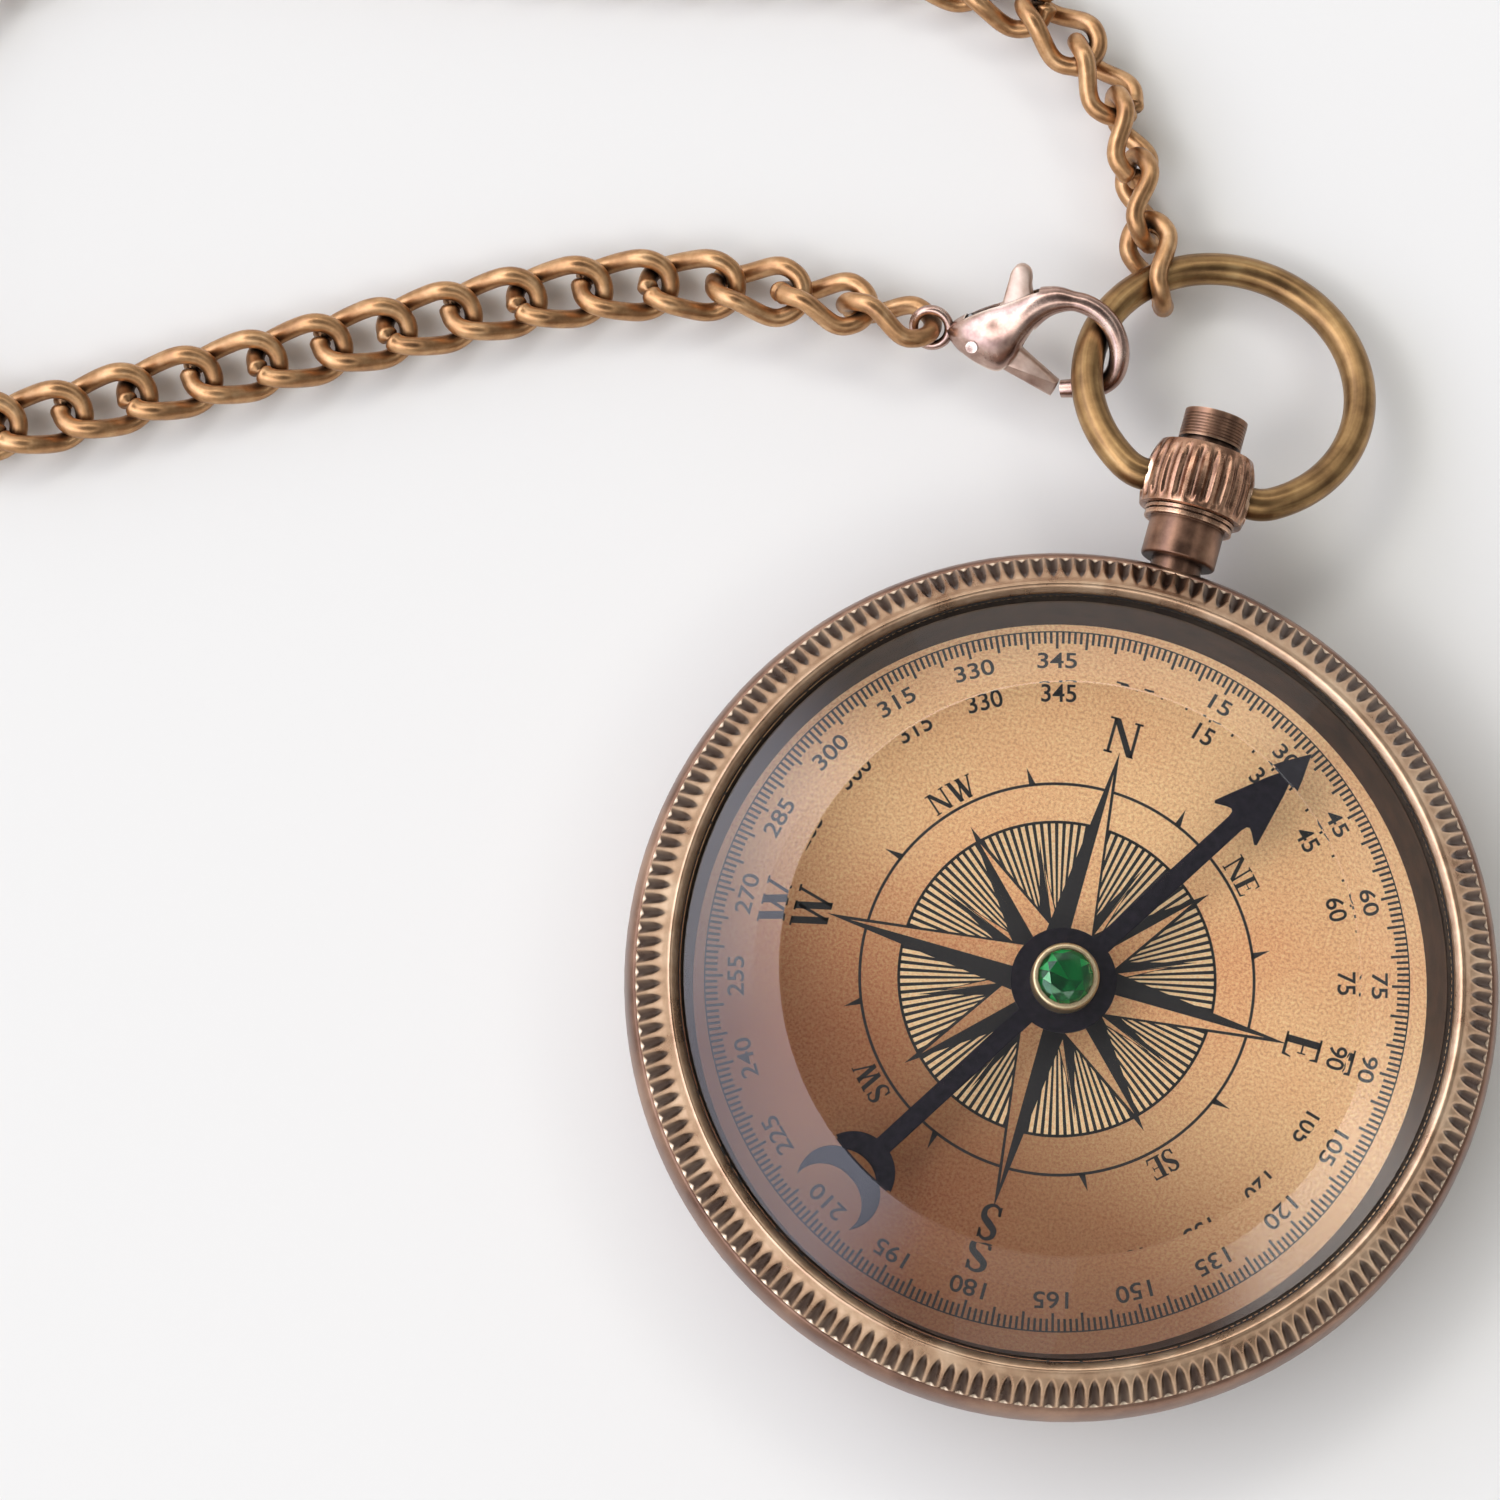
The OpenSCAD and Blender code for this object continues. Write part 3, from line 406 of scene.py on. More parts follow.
# Antique brass on drawn wire: olive gold with brown shadows
wireBrass = antiqueMetal("antique brass plate on drawn wire", {
    "blotchMm": 2.6, "tones": [(0.3, "#614730"), (0.46, "#8c6c47"), (0.58, "#a98659"), (0.75, "#cdb07f")],
    "streak": (9, 0.34, 0.42), "recessMm": 0.8, "recess": [(0.3, 0.0), (0.95, 1.0)], "patina": "#33261a",
    "edgeMm": 0.3, "wear": [(0.1, 1.0), (0.4, 0.0)], "bare": "#e6d3a4",
    "grainMm": 0.09, "bump": 0.2, "rough": (0.25, 0.42), "metallic": 0.93})
# The same plate on softer link wire: warmer, golden brown with satin light
linkBrass = antiqueMetal("antique brass plate on link wire", {
    "blotchMm": 1.3, "tones": [(0.28, "#8a6447"), (0.5, "#b98d62"), (0.72, "#ddb68a")],
    "streak": (5, 0.35, 0.35), "recessMm": 0.55, "recess": [(0.25, 0.0), (0.9, 1.0)], "patina": "#35241c",
    "edgeMm": 0.3, "wear": [(0.1, 1.0), (0.4, 0.0)], "bare": "#f0cf9c",
    "grainMm": 0.09, "bump": 0.2, "rough": (0.28, 0.42), "metallic": 0.92})
# Crown plate worn glossy by the thumb: reddish copper ridges over brown
crownCopper = antiqueMetal("antique copper plate thumb worn", {
    "blotchMm": 1.4, "tones": [(0.3, "#7c5a49"), (0.5, "#a87e65"), (0.72, "#d2a88a")],
    "groove": [(0.15, 1.0), (0.7, 0.66), (1.0, 0.5)],
    "recessMm": 0.5, "recess": [(0.3, 0.0), (0.9, 1.0)], "patina": "#281c1b",
    "edgeMm": 0.3, "wear": [(0.35, 1.0), (0.75, 0.0)], "bare": "#f6cfae",
    "grainMm": 0.3, "bump": 0.5, "rough": (0.18, 0.34), "metallic": 0.94})
# Die-cast clasp, tumbled smooth: pinkish grey, copper warming through
claspPlate = antiqueMetal("antique copper-nickel plate tumbled", {
    "blotchMm": 1.8, "tones": [(0.3, "#8a6e62"), (0.5, "#b39588"), (0.72, "#d6bdae")],
    "recessMm": 0.5, "recess": [(0.2, 0.0), (0.9, 1.0)], "patina": "#4a3831",
    "edgeMm": 0.25, "wear": [(0.2, 1.0), (0.6, 0.0)], "bare": "#f5e3d3",
    "grainMm": 0.1, "bump": 0.12, "rough": (0.18, 0.3), "metallic": 0.95})
# The lever's stamped faces, brushed a little duller than the cast body, and painted in lighter tones than the
# body: painted light on the gate's face
leverPlatePaintedLight = antiqueMetal("antique copper-nickel plate stamped, painted lighter", {
    "blotchMm": 1.8, "tones": [(0.3, "#ab8f80"), (0.5, "#cdb1a0"), (0.72, "#e6d2c3")],
    "recessMm": 0.5, "recess": [(0.2, 0.0), (0.9, 1.0)], "patina": "#4a3831",
    "edgeMm": 0.2, "wear": [(0.3, 1.0), (0.7, 0.0)], "bare": "#fff6ea",
    "grainMm": 0.1, "bump": 0.2, "rough": (0.42, 0.55), "metallic": 0.9})


def grained(name, look):  # one metal or coat, with a fine grain in two tones
    material, tree, output = startMaterial(name)
    coords = addNode(tree, "ShaderNodeTexCoord")
    grain = addNode(tree, "ShaderNodeTexNoise", inputs={
        "Vector": coords.outputs["Object"], "Scale": perMetre(look["grainMm"]), "Detail": look["detail"]})
    tone = addNode(tree, "ShaderNodeValToRGB", {"stops": look["tones"]}, {"Fac": grain.outputs["Fac"]})
    surface = addNode(tree, "ShaderNodeBsdfPrincipled", inputs={
        "Base Color": tone.outputs["Color"], **look["surface"]})
    if "rough" in look:  # a metal's grain also dulls it unevenly
        rough = addNode(tree, "ShaderNodeMapRange", inputs={
            "Value": grain.outputs["Fac"], "To Min": look["rough"][0], "To Max": look["rough"][1]})
        tree.links.new(rough.outputs["Result"], surface.inputs["Roughness"])
    tree.links.new(surface.outputs[0], output.inputs["Surface"])
    return material


# Polished brass: bright yellow, with soft light on the cup's rim
cupBrass = grained("polished brass", {
    "grainMm": 0.12, "detail": 3, "tones": [(0.3, "#dcc096"), (0.7, "#ecd7ad")],
    "rough": (0.3, 0.38), "surface": {"Metallic": 1}})
# Turned brass: plainer and darker yellow, as it comes off the lathe
pivotBrass = grained("turned brass", {
    "grainMm": 0.3, "detail": 3, "tones": [(0.3, "#a9854a"), (0.7, "#bb9859")],
    "rough": (0.25, 0.35), "surface": {"Metallic": 1}})
# Ground steel: bright, cool and nearly even
pinSteel = grained("hardened steel ground", {
    "grainMm": 0.2, "detail": 3, "tones": [(0.3, "#b4b7bb"), (0.7, "#cfd2d5")],
    "rough": (0.18, 0.28), "surface": {"Metallic": 1}})
# Drawn spring wire: a greyer and duller steel
springSteel = grained("spring steel drawn", {
    "grainMm": 0.2, "detail": 3, "tones": [(0.3, "#8f9296"), (0.7, "#b3b6ba")],
    "rough": (0.25, 0.35), "surface": {"Metallic": 1}})
# Blacked steel needle: deep satin black with a cool sheen
needleSteel = grained("blacked steel", {
    "grainMm": 0.5, "detail": 4, "tones": [(0.3, "#1b191e"), (0.7, "#2a262c")],
    "surface": {"Roughness": 0.5, "Specular IOR Level": 0.08}})
# Dark bronze lacquer over brass: brown-black with a dull warm sheen
ringBronze = grained("dark bronze lacquer on brass", {
    "grainMm": 1.5, "detail": 4, "tones": [(0.3, "#1e1410"), (0.7, "#3a281e")],
    "surface": {"Roughness": 0.55, "Specular IOR Level": 0.15}})
# Moulded black rubber: matt, faintly dusty
gasketRubber = grained("moulded black rubber", {
    "grainMm": 0.6, "detail": 4, "tones": [(0.3, "#17130f"), (0.7, "#2a231d")],
    "surface": {"Roughness": 0.6}})
# Bare lacquer ring under the rays, a paler cream than the dial
dialPale = grained("pale lacquer print", {
    "grainMm": 0.2, "detail": 2, "tones": [(0.3, "#eebb84"), (0.7, "#fbdca8")],
    "surface": {"Metallic": 0.2, "Roughness": 0.45}})
# Screen-printed ink: brown-black and matt
printInk = grained("screen-printed ink", {
    "grainMm": 0.2, "detail": 2, "tones": [(0.3, "#0d0a09"), (0.75, "#1d1613")],
    "surface": {"Roughness": 0.55}})

# Lacquered copper dial, printed over a fine grain: peach with brown and gold specks, and painted shade
# darkening it towards the lower left
dialFace = {
    "speckMm": 0.2, "speckDetail": 2, "speckRough": 0.7, "bump": 0.25, "deepMm": 0.01,
    "speck": [(0.35, "#c8784f"), (0.5, "#f6b07b"), (0.65, "#ffd99c")],
    "cloudMm": 17, "cloudDetail": 3, "cloudShare": 0.4, "cloud": [(0.36, "#e9a56c"), (0.62, "#ffdda0")],
    "paintedShadeTurn": 70, "paintedShadeSpan": (-14, 6), "paintedShade": "#9c877d",  # painted shade: darker towards the lower left, standing in for how the light falls across the face
    "metallic": 0.12, "rough": 0.38,
}
dialCopperPaintedShade, tree, output = startMaterial("lacquered copper sheet grained with painted shade")
coords = addNode(tree, "ShaderNodeTexCoord")
speck = addNode(tree, "ShaderNodeTexNoise", inputs={
    "Vector": coords.outputs["Object"], "Scale": perMetre(dialFace["speckMm"]),
    "Detail": dialFace["speckDetail"], "Roughness": dialFace["speckRough"]})
speckTone = addNode(tree, "ShaderNodeValToRGB", {"stops": dialFace["speck"]}, {"Fac": speck.outputs["Fac"]})
cloud = addNode(tree, "ShaderNodeTexNoise", inputs={
    "Vector": coords.outputs["Object"], "Scale": perMetre(dialFace["cloudMm"]),
    "Detail": dialFace["cloudDetail"]})
cloudTone = addNode(tree, "ShaderNodeValToRGB", {"stops": dialFace["cloud"]}, {"Fac": cloud.outputs["Fac"]})
mixed = addNode(tree, "ShaderNodeMix", {"data_type": "RGBA"}, {
    0: dialFace["cloudShare"], 6: speckTone.outputs["Color"], 7: cloudTone.outputs["Color"]})
# Painted shade: the dial's colour is multiplied down towards a dull grey-brown across a band, darker towards
# the lower left, in place of light falling across it
paintedShadeTurn = math.radians(dialFace["paintedShadeTurn"])
across = addNode(tree, "ShaderNodeVectorMath", {"operation": "DOT_PRODUCT"}, {
    0: coords.outputs["Object"], 1: (math.cos(paintedShadeTurn), math.sin(paintedShadeTurn), 0)})
paintedShade = addNode(tree, "ShaderNodeMapRange", {"interpolation_type": "SMOOTHSTEP"}, {
    "Value": across.outputs["Value"], "From Min": dialFace["paintedShadeSpan"][0] * mm,
    "From Max": dialFace["paintedShadeSpan"][1] * mm, "To Min": 1, "To Max": 0})
tone = addNode(tree, "ShaderNodeMix", {"data_type": "RGBA", "blend_type": "MULTIPLY"}, {
    0: paintedShade.outputs["Result"], 6: mixed.outputs[2], 7: linear(dialFace["paintedShade"])})
bump = addNode(tree, "ShaderNodeBump", inputs={
    "Height": speck.outputs["Fac"], "Strength": dialFace["bump"], "Distance": dialFace["deepMm"] * mm})
surface = addNode(tree, "ShaderNodeBsdfPrincipled", inputs={
    "Base Color": tone.outputs[2], "Metallic": dialFace["metallic"], "Roughness": dialFace["rough"],
    "Normal": bump.outputs["Normal"]})
tree.links.new(surface.outputs[0], output.inputs["Surface"])


def clearGlass(name, colour, ior, shadowTint):  # shadow rays pass, so that what lies under it stays lit
    material, tree, output = startMaterial(name)
    body = addNode(tree, "ShaderNodeBsdfPrincipled", inputs={
        "Base Color": linear(colour), "Roughness": 0.0, "IOR": ior, "Transmission Weight": 1})
    through = addNode(tree, "ShaderNodeBsdfTransparent", inputs={"Color": linear(shadowTint)})
    rays = addNode(tree, "ShaderNodeLightPath")
    mixed = addNode(tree, "ShaderNodeMixShader", inputs={
        0: rays.outputs["Is Shadow Ray"], 1: body.outputs[0], 2: through.outputs[0]})
    tree.links.new(mixed.outputs[0], output.inputs["Surface"])
    return material


# Polished mineral glass: clear, bends what lies under its bevel
crystalGlass = clearGlass("polished mineral glass", "#fdfefe", 1.5, "#fdfefe")
# Synthetic ruby bearing: clear deep red
jewelRed = clearGlass("polished red jewel", "#c4304a", 1.76, "#c4304a")

# Foiled cut glass: deep green, with painted glints: each facet gets its own random tone from near-black to
# bright green, in place of the light each facet would catch
gemGlintLook = {
    "tones": [(0.0, "#012c14"), (0.4, "#044d22"), (0.75, "#06682d"), (1.0, "#18a04f")],
    "surface": {"Metallic": 0.35, "Roughness": 0.12, "Coat Weight": 1, "Coat Roughness": 0.03},
}
gemGreenPaintedGlints, tree, output = startMaterial("foiled green cut glass with painted facet glints")
geometry = addNode(tree, "ShaderNodeNewGeometry")
# Painted glints and shade: each facet's tone is picked at random per facet
tone = addNode(tree, "ShaderNodeValToRGB", {"stops": gemGlintLook["tones"]}, {
    "Fac": geometry.outputs["Random Per Island"]})
surface = addNode(tree, "ShaderNodeBsdfPrincipled", inputs={
    "Base Color": tone.outputs["Color"], **gemGlintLook["surface"]})
tree.links.new(surface.outputs[0], output.inputs["Surface"])
print("finishes made")


# Solids that keep their own shape

kept = {
    "case_bowl": caseCopper, "crystal_gasket": gasketRubber, "dial_ring": ringBronze,
    "dial_plate": dialCopperPaintedShade, "pivot_base": pivotBrass, "pivot_pin": pinSteel, "pendant_neck": neckCopper,
    "button_spring": springSteel, "needle_cap": cupBrass, "bearing_jewel": jewelRed, "button_cap": neckCopper,
    "button_stem": pinSteel, "stem_clip": springSteel, "clasp_spring": springSteel, "clasp_rivet": claspPlate,
}
for node, material in kept.items():
    dress(solids[node], material)


# Dial print, drawn flat in the dial's own turn: x to the right of north, y towards north

dialPrint = {
    "z": 4.2, "northTurn": -0.2, "centre": (-0.35, 0.42),  # north's turn anticlockwise from the pendant
    "scaleR": 21.1, "scaleLine": 0.1, "tickW": 0.16, "tick": 0.85, "longTick": 1.25, "longEvery": 5,
    "numberR": 18.95, "numberH": 1.2, "numberStep": 15, "bold": 0.012,
    "letterR": 16.6, "letterH": 2.4, "cornerR": 13.95, "cornerH": 1.5, "letterGap": 0.04, "curlSteps": 6,
    "ringR": (12.9, 10.35), "ringLine": 0.19, "ringSteps": 360, "rays": 128, "rayR": 3, "rayW": (0.09, 0.23),
    "paleR": 0.98, "mainR": 15.1, "crossOver": 0.6, "sideR": 2.35, "edge": 0.13, "tipEdge": 4,
    "copperShare": 0.93, "copperLift": 0.003, "barbs": (1.2, 0.45),
    "lifts": {"pale": 0.004, "rays": 0.007, "cross": 0.016, "main": 0.022},  # one print over another
    "half": [  # a slim point between two winds: tone, lift, and its corners by radius and turn
        ("dark", 0.01, [(2.5, -20), (9.2, 0), (4.4, 1), (2.5, 12)]),
        ("dark", 0.011, [(3.5, 1), (7.8, 0.4), (4.4, 6.8)]),
        ("copper", 0.013, [(3.8, 2), (7.3, 0.9), (4.4, 5.4)]),
    ],
}
winds = ("N", "NE", "E", "SE", "S", "SW", "W", "NW")
windStep = 360 / len(winds)
inks = {"dark": ([], []), "pale": ([], []), "copper": ([], [])}


def onDial(x, y):  # from the dial's turn to the compass
    a = math.radians(dialPrint["northTurn"])
    return (x * math.cos(a) - y * math.sin(a) + dialPrint["centre"][0],
            x * math.sin(a) + y * math.cos(a) + dialPrint["centre"][1])


def bearing(r, degrees):  # a place by radius and by bearing clockwise from north
    a = math.radians(degrees)
    return Vector((r * math.sin(a), r * math.cos(a)))


def ink(outline, lift, tone="dark"):  # one flat patch of ink
    points, faces = inks[tone]
    first = len(points)
    turnSum = sum(a[0] * b[1] - a[1] * b[0] for a, b in zip(outline, [*outline[1:], outline[0]]))
    points += [(*onDial(x, y), dialPrint["z"] + lift) for x, y in outline]
    numbers = list(range(first, len(points)))
    faces.append(numbers if turnSum > 0 else numbers[::-1])


def inkRing(inner, outer, lift, tone="dark"):
    steps = dialPrint["ringSteps"]
    for i in range(steps):
        a, b = 360 * i / steps, 360 * (i + 1) / steps
        ink([bearing(inner, a), bearing(inner, b), bearing(outer, b), bearing(outer, a)], lift, tone)


def inkBar(r0, r1, degrees, w0, w1, lift):  # a radial bar, w0 wide inside and w1 outside
    across = bearing(0.5, degrees + 90)
    ink([bearing(r0, degrees) - across * w0, bearing(r0, degrees) + across * w0,
         bearing(r1, degrees) + across * w1, bearing(r1, degrees) - across * w1], lift)


def inkPoint(tipR, degrees, lift):  # one point of the rose: dark half, then copper half with a dark edge
    tip, centre, edge = bearing(tipR, degrees), Vector((0, 0)), dialPrint["edge"]
    leftSide, rightSide = (bearing(dialPrint["sideR"], degrees + side * windStep) for side in (-1, 1))
    away = (tip - rightSide).orthogonal().normalized() * edge
    away *= 1 if away.dot(rightSide) > 0 else -1
    outTip = tip + bearing(edge * dialPrint["tipEdge"], degrees)
    ink([centre, leftSide, outTip, rightSide + away], lift)
    copperTip = bearing(tipR * dialPrint["copperShare"], degrees)
    ink([centre, rightSide, copperTip], lift + dialPrint["copperLift"], "copper")


def inkLetters(text, height, r, degrees, lift):  # plain figures, tops outwards
    curve = bpy.data.curves.new("figures", "FONT")
    curve.body = text
    curve.align_x = "CENTER"
    curve.offset = dialPrint["bold"]
    figure = bpy.data.objects.new("figures", curve)
    shape = figure.to_mesh()
    tops = [v.co.y for v in shape.vertices]
    size = height / (max(tops) - min(tops))
    out, across = bearing(1, degrees), bearing(1, degrees + 90)
    for polygon in shape.polygons:
        spots = [shape.vertices[i].co for i in polygon.vertices]
        ink([out * (r + (s.y - min(tops)) * size - height / 2) + across * s.x * size for s in spots], lift)
    figure.to_mesh_clear()
    bpy.data.objects.remove(figure)
    bpy.data.curves.remove(curve)


# Book letters as patches in a cell one unit high: stems, hairlines and serifs
thin, thick, foot = 0.085, 0.2, 0.06


def stem(x0, y0, x1, y1, w):  # a stroke w wide across
    return [(x0 - w / 2, y0), (x0 + w / 2, y0), (x1 + w / 2, y1), (x1 - w / 2, y1)]


def serif(x, y, w):
    return [(x - w / 2, y), (x + w / 2, y), (x + w / 2, y + foot), (x - w / 2, y + foot)]


def curl(spots, widths):  # a bent stroke of changing width
    path = smoothed(spots, dialPrint["curlSteps"])
    last, lastWidth = len(path) - 1, len(widths) - 1
    sides = []
    for i, p in enumerate(path):
        share = i * lastWidth / last
        k = int(share)
        width = between(widths[k], widths[min(k + 1, lastWidth)], share % 1)
        ahead = (path[min(i + 1, last)] - path[max(i - 1, 0)]).normalized()
        over = Vector((-ahead.y, ahead.x)) * width / 2
        sides.append((p + over, p - over))
    return [[a[0], a[1], b[1], b[0]] for a, b in zip(sides, sides[1:])]


letters = {  # each letter's patches and its width
    "N": ([stem(0.13, 0, 0.13, 1, thin), stem(0.78, 0, 0.78, 1, thin), stem(0.15, 1, 0.76, 0, thick),
           serif(0.13, 0, 0.24), serif(0.07, 1 - foot, 0.2), serif(0.78, 1 - foot, 0.24)], 0.92),
    "E": ([stem(0.18, 0, 0.18, 1, thick), serif(0.14, 0, 0.28), serif(0.14, 1 - foot, 0.28),
           [(0.2, 0), (0.64, 0), (0.68, 0.25), (0.64, 0.25), (0.58, thin), (0.2, thin)],
           [(0.2, 1 - thin), (0.56, 1 - thin), (0.6, 0.78), (0.64, 0.78), (0.63, 1), (0.2, 1)],
           [(0.2, 0.49), (0.48, 0.49), (0.48, 0.54), (0.2, 0.54)], stem(0.5, 0.4, 0.5, 0.63, 0.04)], 0.7),
    "S": (curl([(0.5, 0.74), (0.46, 0.9), (0.3, 0.97), (0.14, 0.88), (0.13, 0.7), (0.3, 0.54), (0.47, 0.38),
                (0.47, 0.16), (0.3, 0.03), (0.12, 0.09), (0.07, 0.28)],
               [thin, 0.08, 0.09, 0.13, 0.18, 0.21, 0.18, 0.13, 0.09, 0.08, thin])
          + [stem(0.51, 0.7, 0.51, 0.96, 0.055), stem(0.065, 0.04, 0.065, 0.3, 0.055)], 0.58),
    "W": ([stem(0.16, 1, 0.4, 0, thick), stem(0.4, 0, 0.62, 0.88, thin), stem(0.58, 1, 0.82, 0, thick),
           stem(0.82, 0, 1.08, 1, thin), serif(0.14, 1 - foot, 0.26), serif(0.58, 1 - foot, 0.26),
           serif(1.08, 1 - foot, 0.2)], 1.2),
}


def inkWord(word, height, r, degrees, lift):  # letters set along the circle, tops outwards
    gap = dialPrint["letterGap"]
    total = sum(letters[c][1] for c in word) + gap * (len(word) - 1)
    x = -total / 2
    for c in word:
        patches, width = letters[c]
        turnBy = degrees + math.degrees((x + width / 2) * height / r)
        out, across = bearing(1, turnBy), bearing(1, turnBy + 90)
        for patch in patches:
            ink([out * (r + (v - 0.5) * height) + across * (u - width / 2) * height for u, v in patch], lift)
        x += width + gap


lifts = dialPrint["lifts"]
line, rings = dialPrint["ringLine"], dialPrint["ringR"]
inkRing(dialPrint["paleR"], rings[1], lifts["pale"], "pale")
rays = dialPrint["rays"]
for i in range(rays):
    inkBar(dialPrint["rayR"], rings[1], 360 * (i + 0.5) / rays, *dialPrint["rayW"], lifts["rays"])
for r in rings:
    inkRing(r - line / 2, r + line / 2, lifts["rays"])
scaleR = dialPrint["scaleR"]
inkRing(scaleR, scaleR + dialPrint["scaleLine"], lifts["rays"])
for degree in range(360):
    length = dialPrint["tick" if degree % dialPrint["longEvery"] else "longTick"]
    inkBar(scaleR - length, scaleR, degree, dialPrint["tickW"], dialPrint["tickW"], lifts["rays"])
for degree in range(dialPrint["numberStep"], 360, dialPrint["numberStep"]):
    inkLetters(str(degree), dialPrint["numberH"], dialPrint["numberR"], degree, lifts["rays"])
barbH, barbW = dialPrint["barbs"]
barbTurn = math.degrees(barbW / rings[0]) / 2
for i in range(len(winds)):  # between the winds: a slim dark and copper point, and a barb on the ring
    degree = windStep * (i + 0.5)
    for tone, lift, corners in dialPrint["half"]:
        ink([bearing(r, degree + off) for r, off in corners], lift, tone)
    ink([bearing(rings[0], degree - barbTurn), bearing(rings[0] + barbH, degree - barbTurn),
         bearing(rings[0], degree + barbTurn)], lifts["rays"])
for i in range(1, len(winds), 2):
    inkPoint(rings[1] + dialPrint["crossOver"], windStep * i, lifts["cross"])
for i in range(0, len(winds), 2):
    inkPoint(dialPrint["mainR"], windStep * i, lifts["main"])
for i, word in enumerate(winds):
    kind = "corner" if i % 2 else "letter"
    inkWord(word, dialPrint[kind + "H"], dialPrint[kind + "R"], windStep * i, lifts["rays"])
for tone, material in (("dark", printInk), ("pale", dialPale), ("copper", dialCopperPaintedShade)):
    piece = addMesh("dial_print_" + tone, *inks[tone], smooth=False)
    place(piece, "case", "dial_copper", material)
print("dial printed")


# Needle: stamped blade with eased edges, and the gem on its cap

needle = {
    "turn": 31.8, "tip": 20.9, "barb": 15.3, "barbW": 4, "notch": 15.85, "shaft": 1.24, "hubR": 3.45,
    "moonAt": 18.6, "moonR": 2.7, "bite": (0.86, 0.42),  # the bite's radius and shift, of the moon's radius
    "notchEase": [(0, -0.5), (0.08, -0.12), (0.25, 0), (0.55, -0.12)],  # out from the shaft, up
    "barbEase": [(-0.12, -0.02), (0, 0.1)],  # out from the barb, up from it
    "belly": (0.84, 1.1), "waist": (0.4, 0.66),  # share of the barb's width, and millimetres or share up
    "z": (6.7, 7.0), "ease": (0.03, 0.06), "easeDeep": 0.05, "sharp": 30, "closest": 0.01,
    "hubSteps": 60, "moonSteps": 30, "biteSteps": 40,
}
shaft, barb = needle["shaft"] / 2, needle["barbW"] / 2
hubR, moonR, moonAt = needle["hubR"], needle["moonR"], -needle["moonAt"]
hubTurn = math.degrees(math.acos(shaft / hubR))
moonTurn = math.degrees(math.acos(shaft / moonR))
biteR, biteShift = (share * moonR for share in needle["bite"])
horn = (biteR ** 2 - moonR ** 2 - biteShift ** 2) / (2 * biteShift)
hornTurn = math.degrees(math.asin(horn / moonR))
biteTurn = math.degrees(math.asin((horn + biteShift) / biteR))
barbY, tipY = needle["barb"], needle["tip"]
headLeft = [(-shaft - x, needle["notch"] + y) for x, y in needle["notchEase"]]
headLeft += [(-barb - x, barbY + y) for x, y in needle["barbEase"]]
headLeft += [(-barb * needle["belly"][0], barbY + needle["belly"][1]),
             (-barb * needle["waist"][0], between(barbY, tipY, needle["waist"][1]))]
outline = [(0, tipY)] + headLeft[::-1]
outline += around((0, 0), hubR, 180 - hubTurn, 180 + hubTurn, needle["hubSteps"])
outline += around((0, moonAt), moonR, 180 - moonTurn, 180 - hornTurn, needle["moonSteps"])
outline += around((0, moonAt - biteShift), biteR, 180 - biteTurn, biteTurn, needle["biteSteps"])
outline += around((0, moonAt), moonR, hornTurn, moonTurn, needle["moonSteps"])
outline += around((0, 0), hubR, -hubTurn, hubTurn, needle["hubSteps"]) + [(-x, y) for x, y in headLeft]
clean = [p for i, p in enumerate(outline) if (Vector(p) - Vector(outline[i - 1])).length > needle["closest"]]
low, high = needle["z"]
easeLow, easeHigh = needle["ease"]
deep = needle["easeDeep"]
points, faces = plate(clean, [(low, easeLow), (low + deep, 0), (high - deep, 0), (high, easeHigh)])
spin = Matrix.Rotation(math.radians(-needle["turn"]), 3, "Z")
blade = addClosed("needle_blade", [spin @ Vector(p) for p in points], faces)
markSharp(blade, needle["sharp"])
place(blade, "needle", "needle_black", needleSteel, "needle_blade")

gem = {
    "r": 1.8, "seat": 8.35, "girdle": 8.62, "top": 9.08, "tableR": 1.12, "middleR": 1.5, "middleUp": 0.55,
    "heart": (0.25, -0.2, -0.07), "facets": 8, "uneven": 0.035, "seed": 7,  # a hand-cut table, not quite flat
}
random.seed(gem["seed"])


def gemRing(r, z, count, start):
    ring = []
    for i in range(count):
        a = math.tau * (i + start) / count
        ring.append(Vector((r * math.cos(a), r * math.sin(a), z + random.uniform(-1, 0) * gem["uneven"])))
    return ring


facets = gem["facets"]
table = gemRing(gem["tableR"], gem["top"], facets, 0)
middle = gemRing(gem["middleR"], between(gem["girdle"], gem["top"], gem["middleUp"]), facets, 0.5)
girdle = gemRing(gem["r"], gem["girdle"], 2 * facets, 0)
heart = Vector(gem["heart"]) + Vector((0, 0, gem["top"]))
cuts = []
for i in range(facets):
    j, a, b, c = (i + 1) % facets, 2 * i, 2 * i + 1, (2 * i + 2) % (2 * facets)
    cuts += [(heart, table[i], table[j]), (table[i], middle[i], table[j]), (table[i], girdle[a], middle[i]),
             (middle[i], girdle[a], girdle[b]), (middle[i], girdle[b], girdle[c]),
             (middle[i], girdle[c], table[j])]
for i in range(2 * facets):
    one, two = girdle[i], girdle[(i + 1) % (2 * facets)]
    cuts.append((one, Vector((one.x, one.y, gem["seat"])), Vector((two.x, two.y, gem["seat"])), two))
points, faces = [], []
for cut in cuts:  # facets stay apart so that each takes its own painted tone, from shaded to glinting
    faces.append(list(range(len(points), len(points) + len(cut))))
    points += cut
stone = addMesh("gem", points, faces, smooth=False)
place(stone, "needle", "gem_green", gemGreenPaintedGlints, "gem")
print("needle and gem made")


# Chain: twisted curb links along the route, each pinched shut at its end

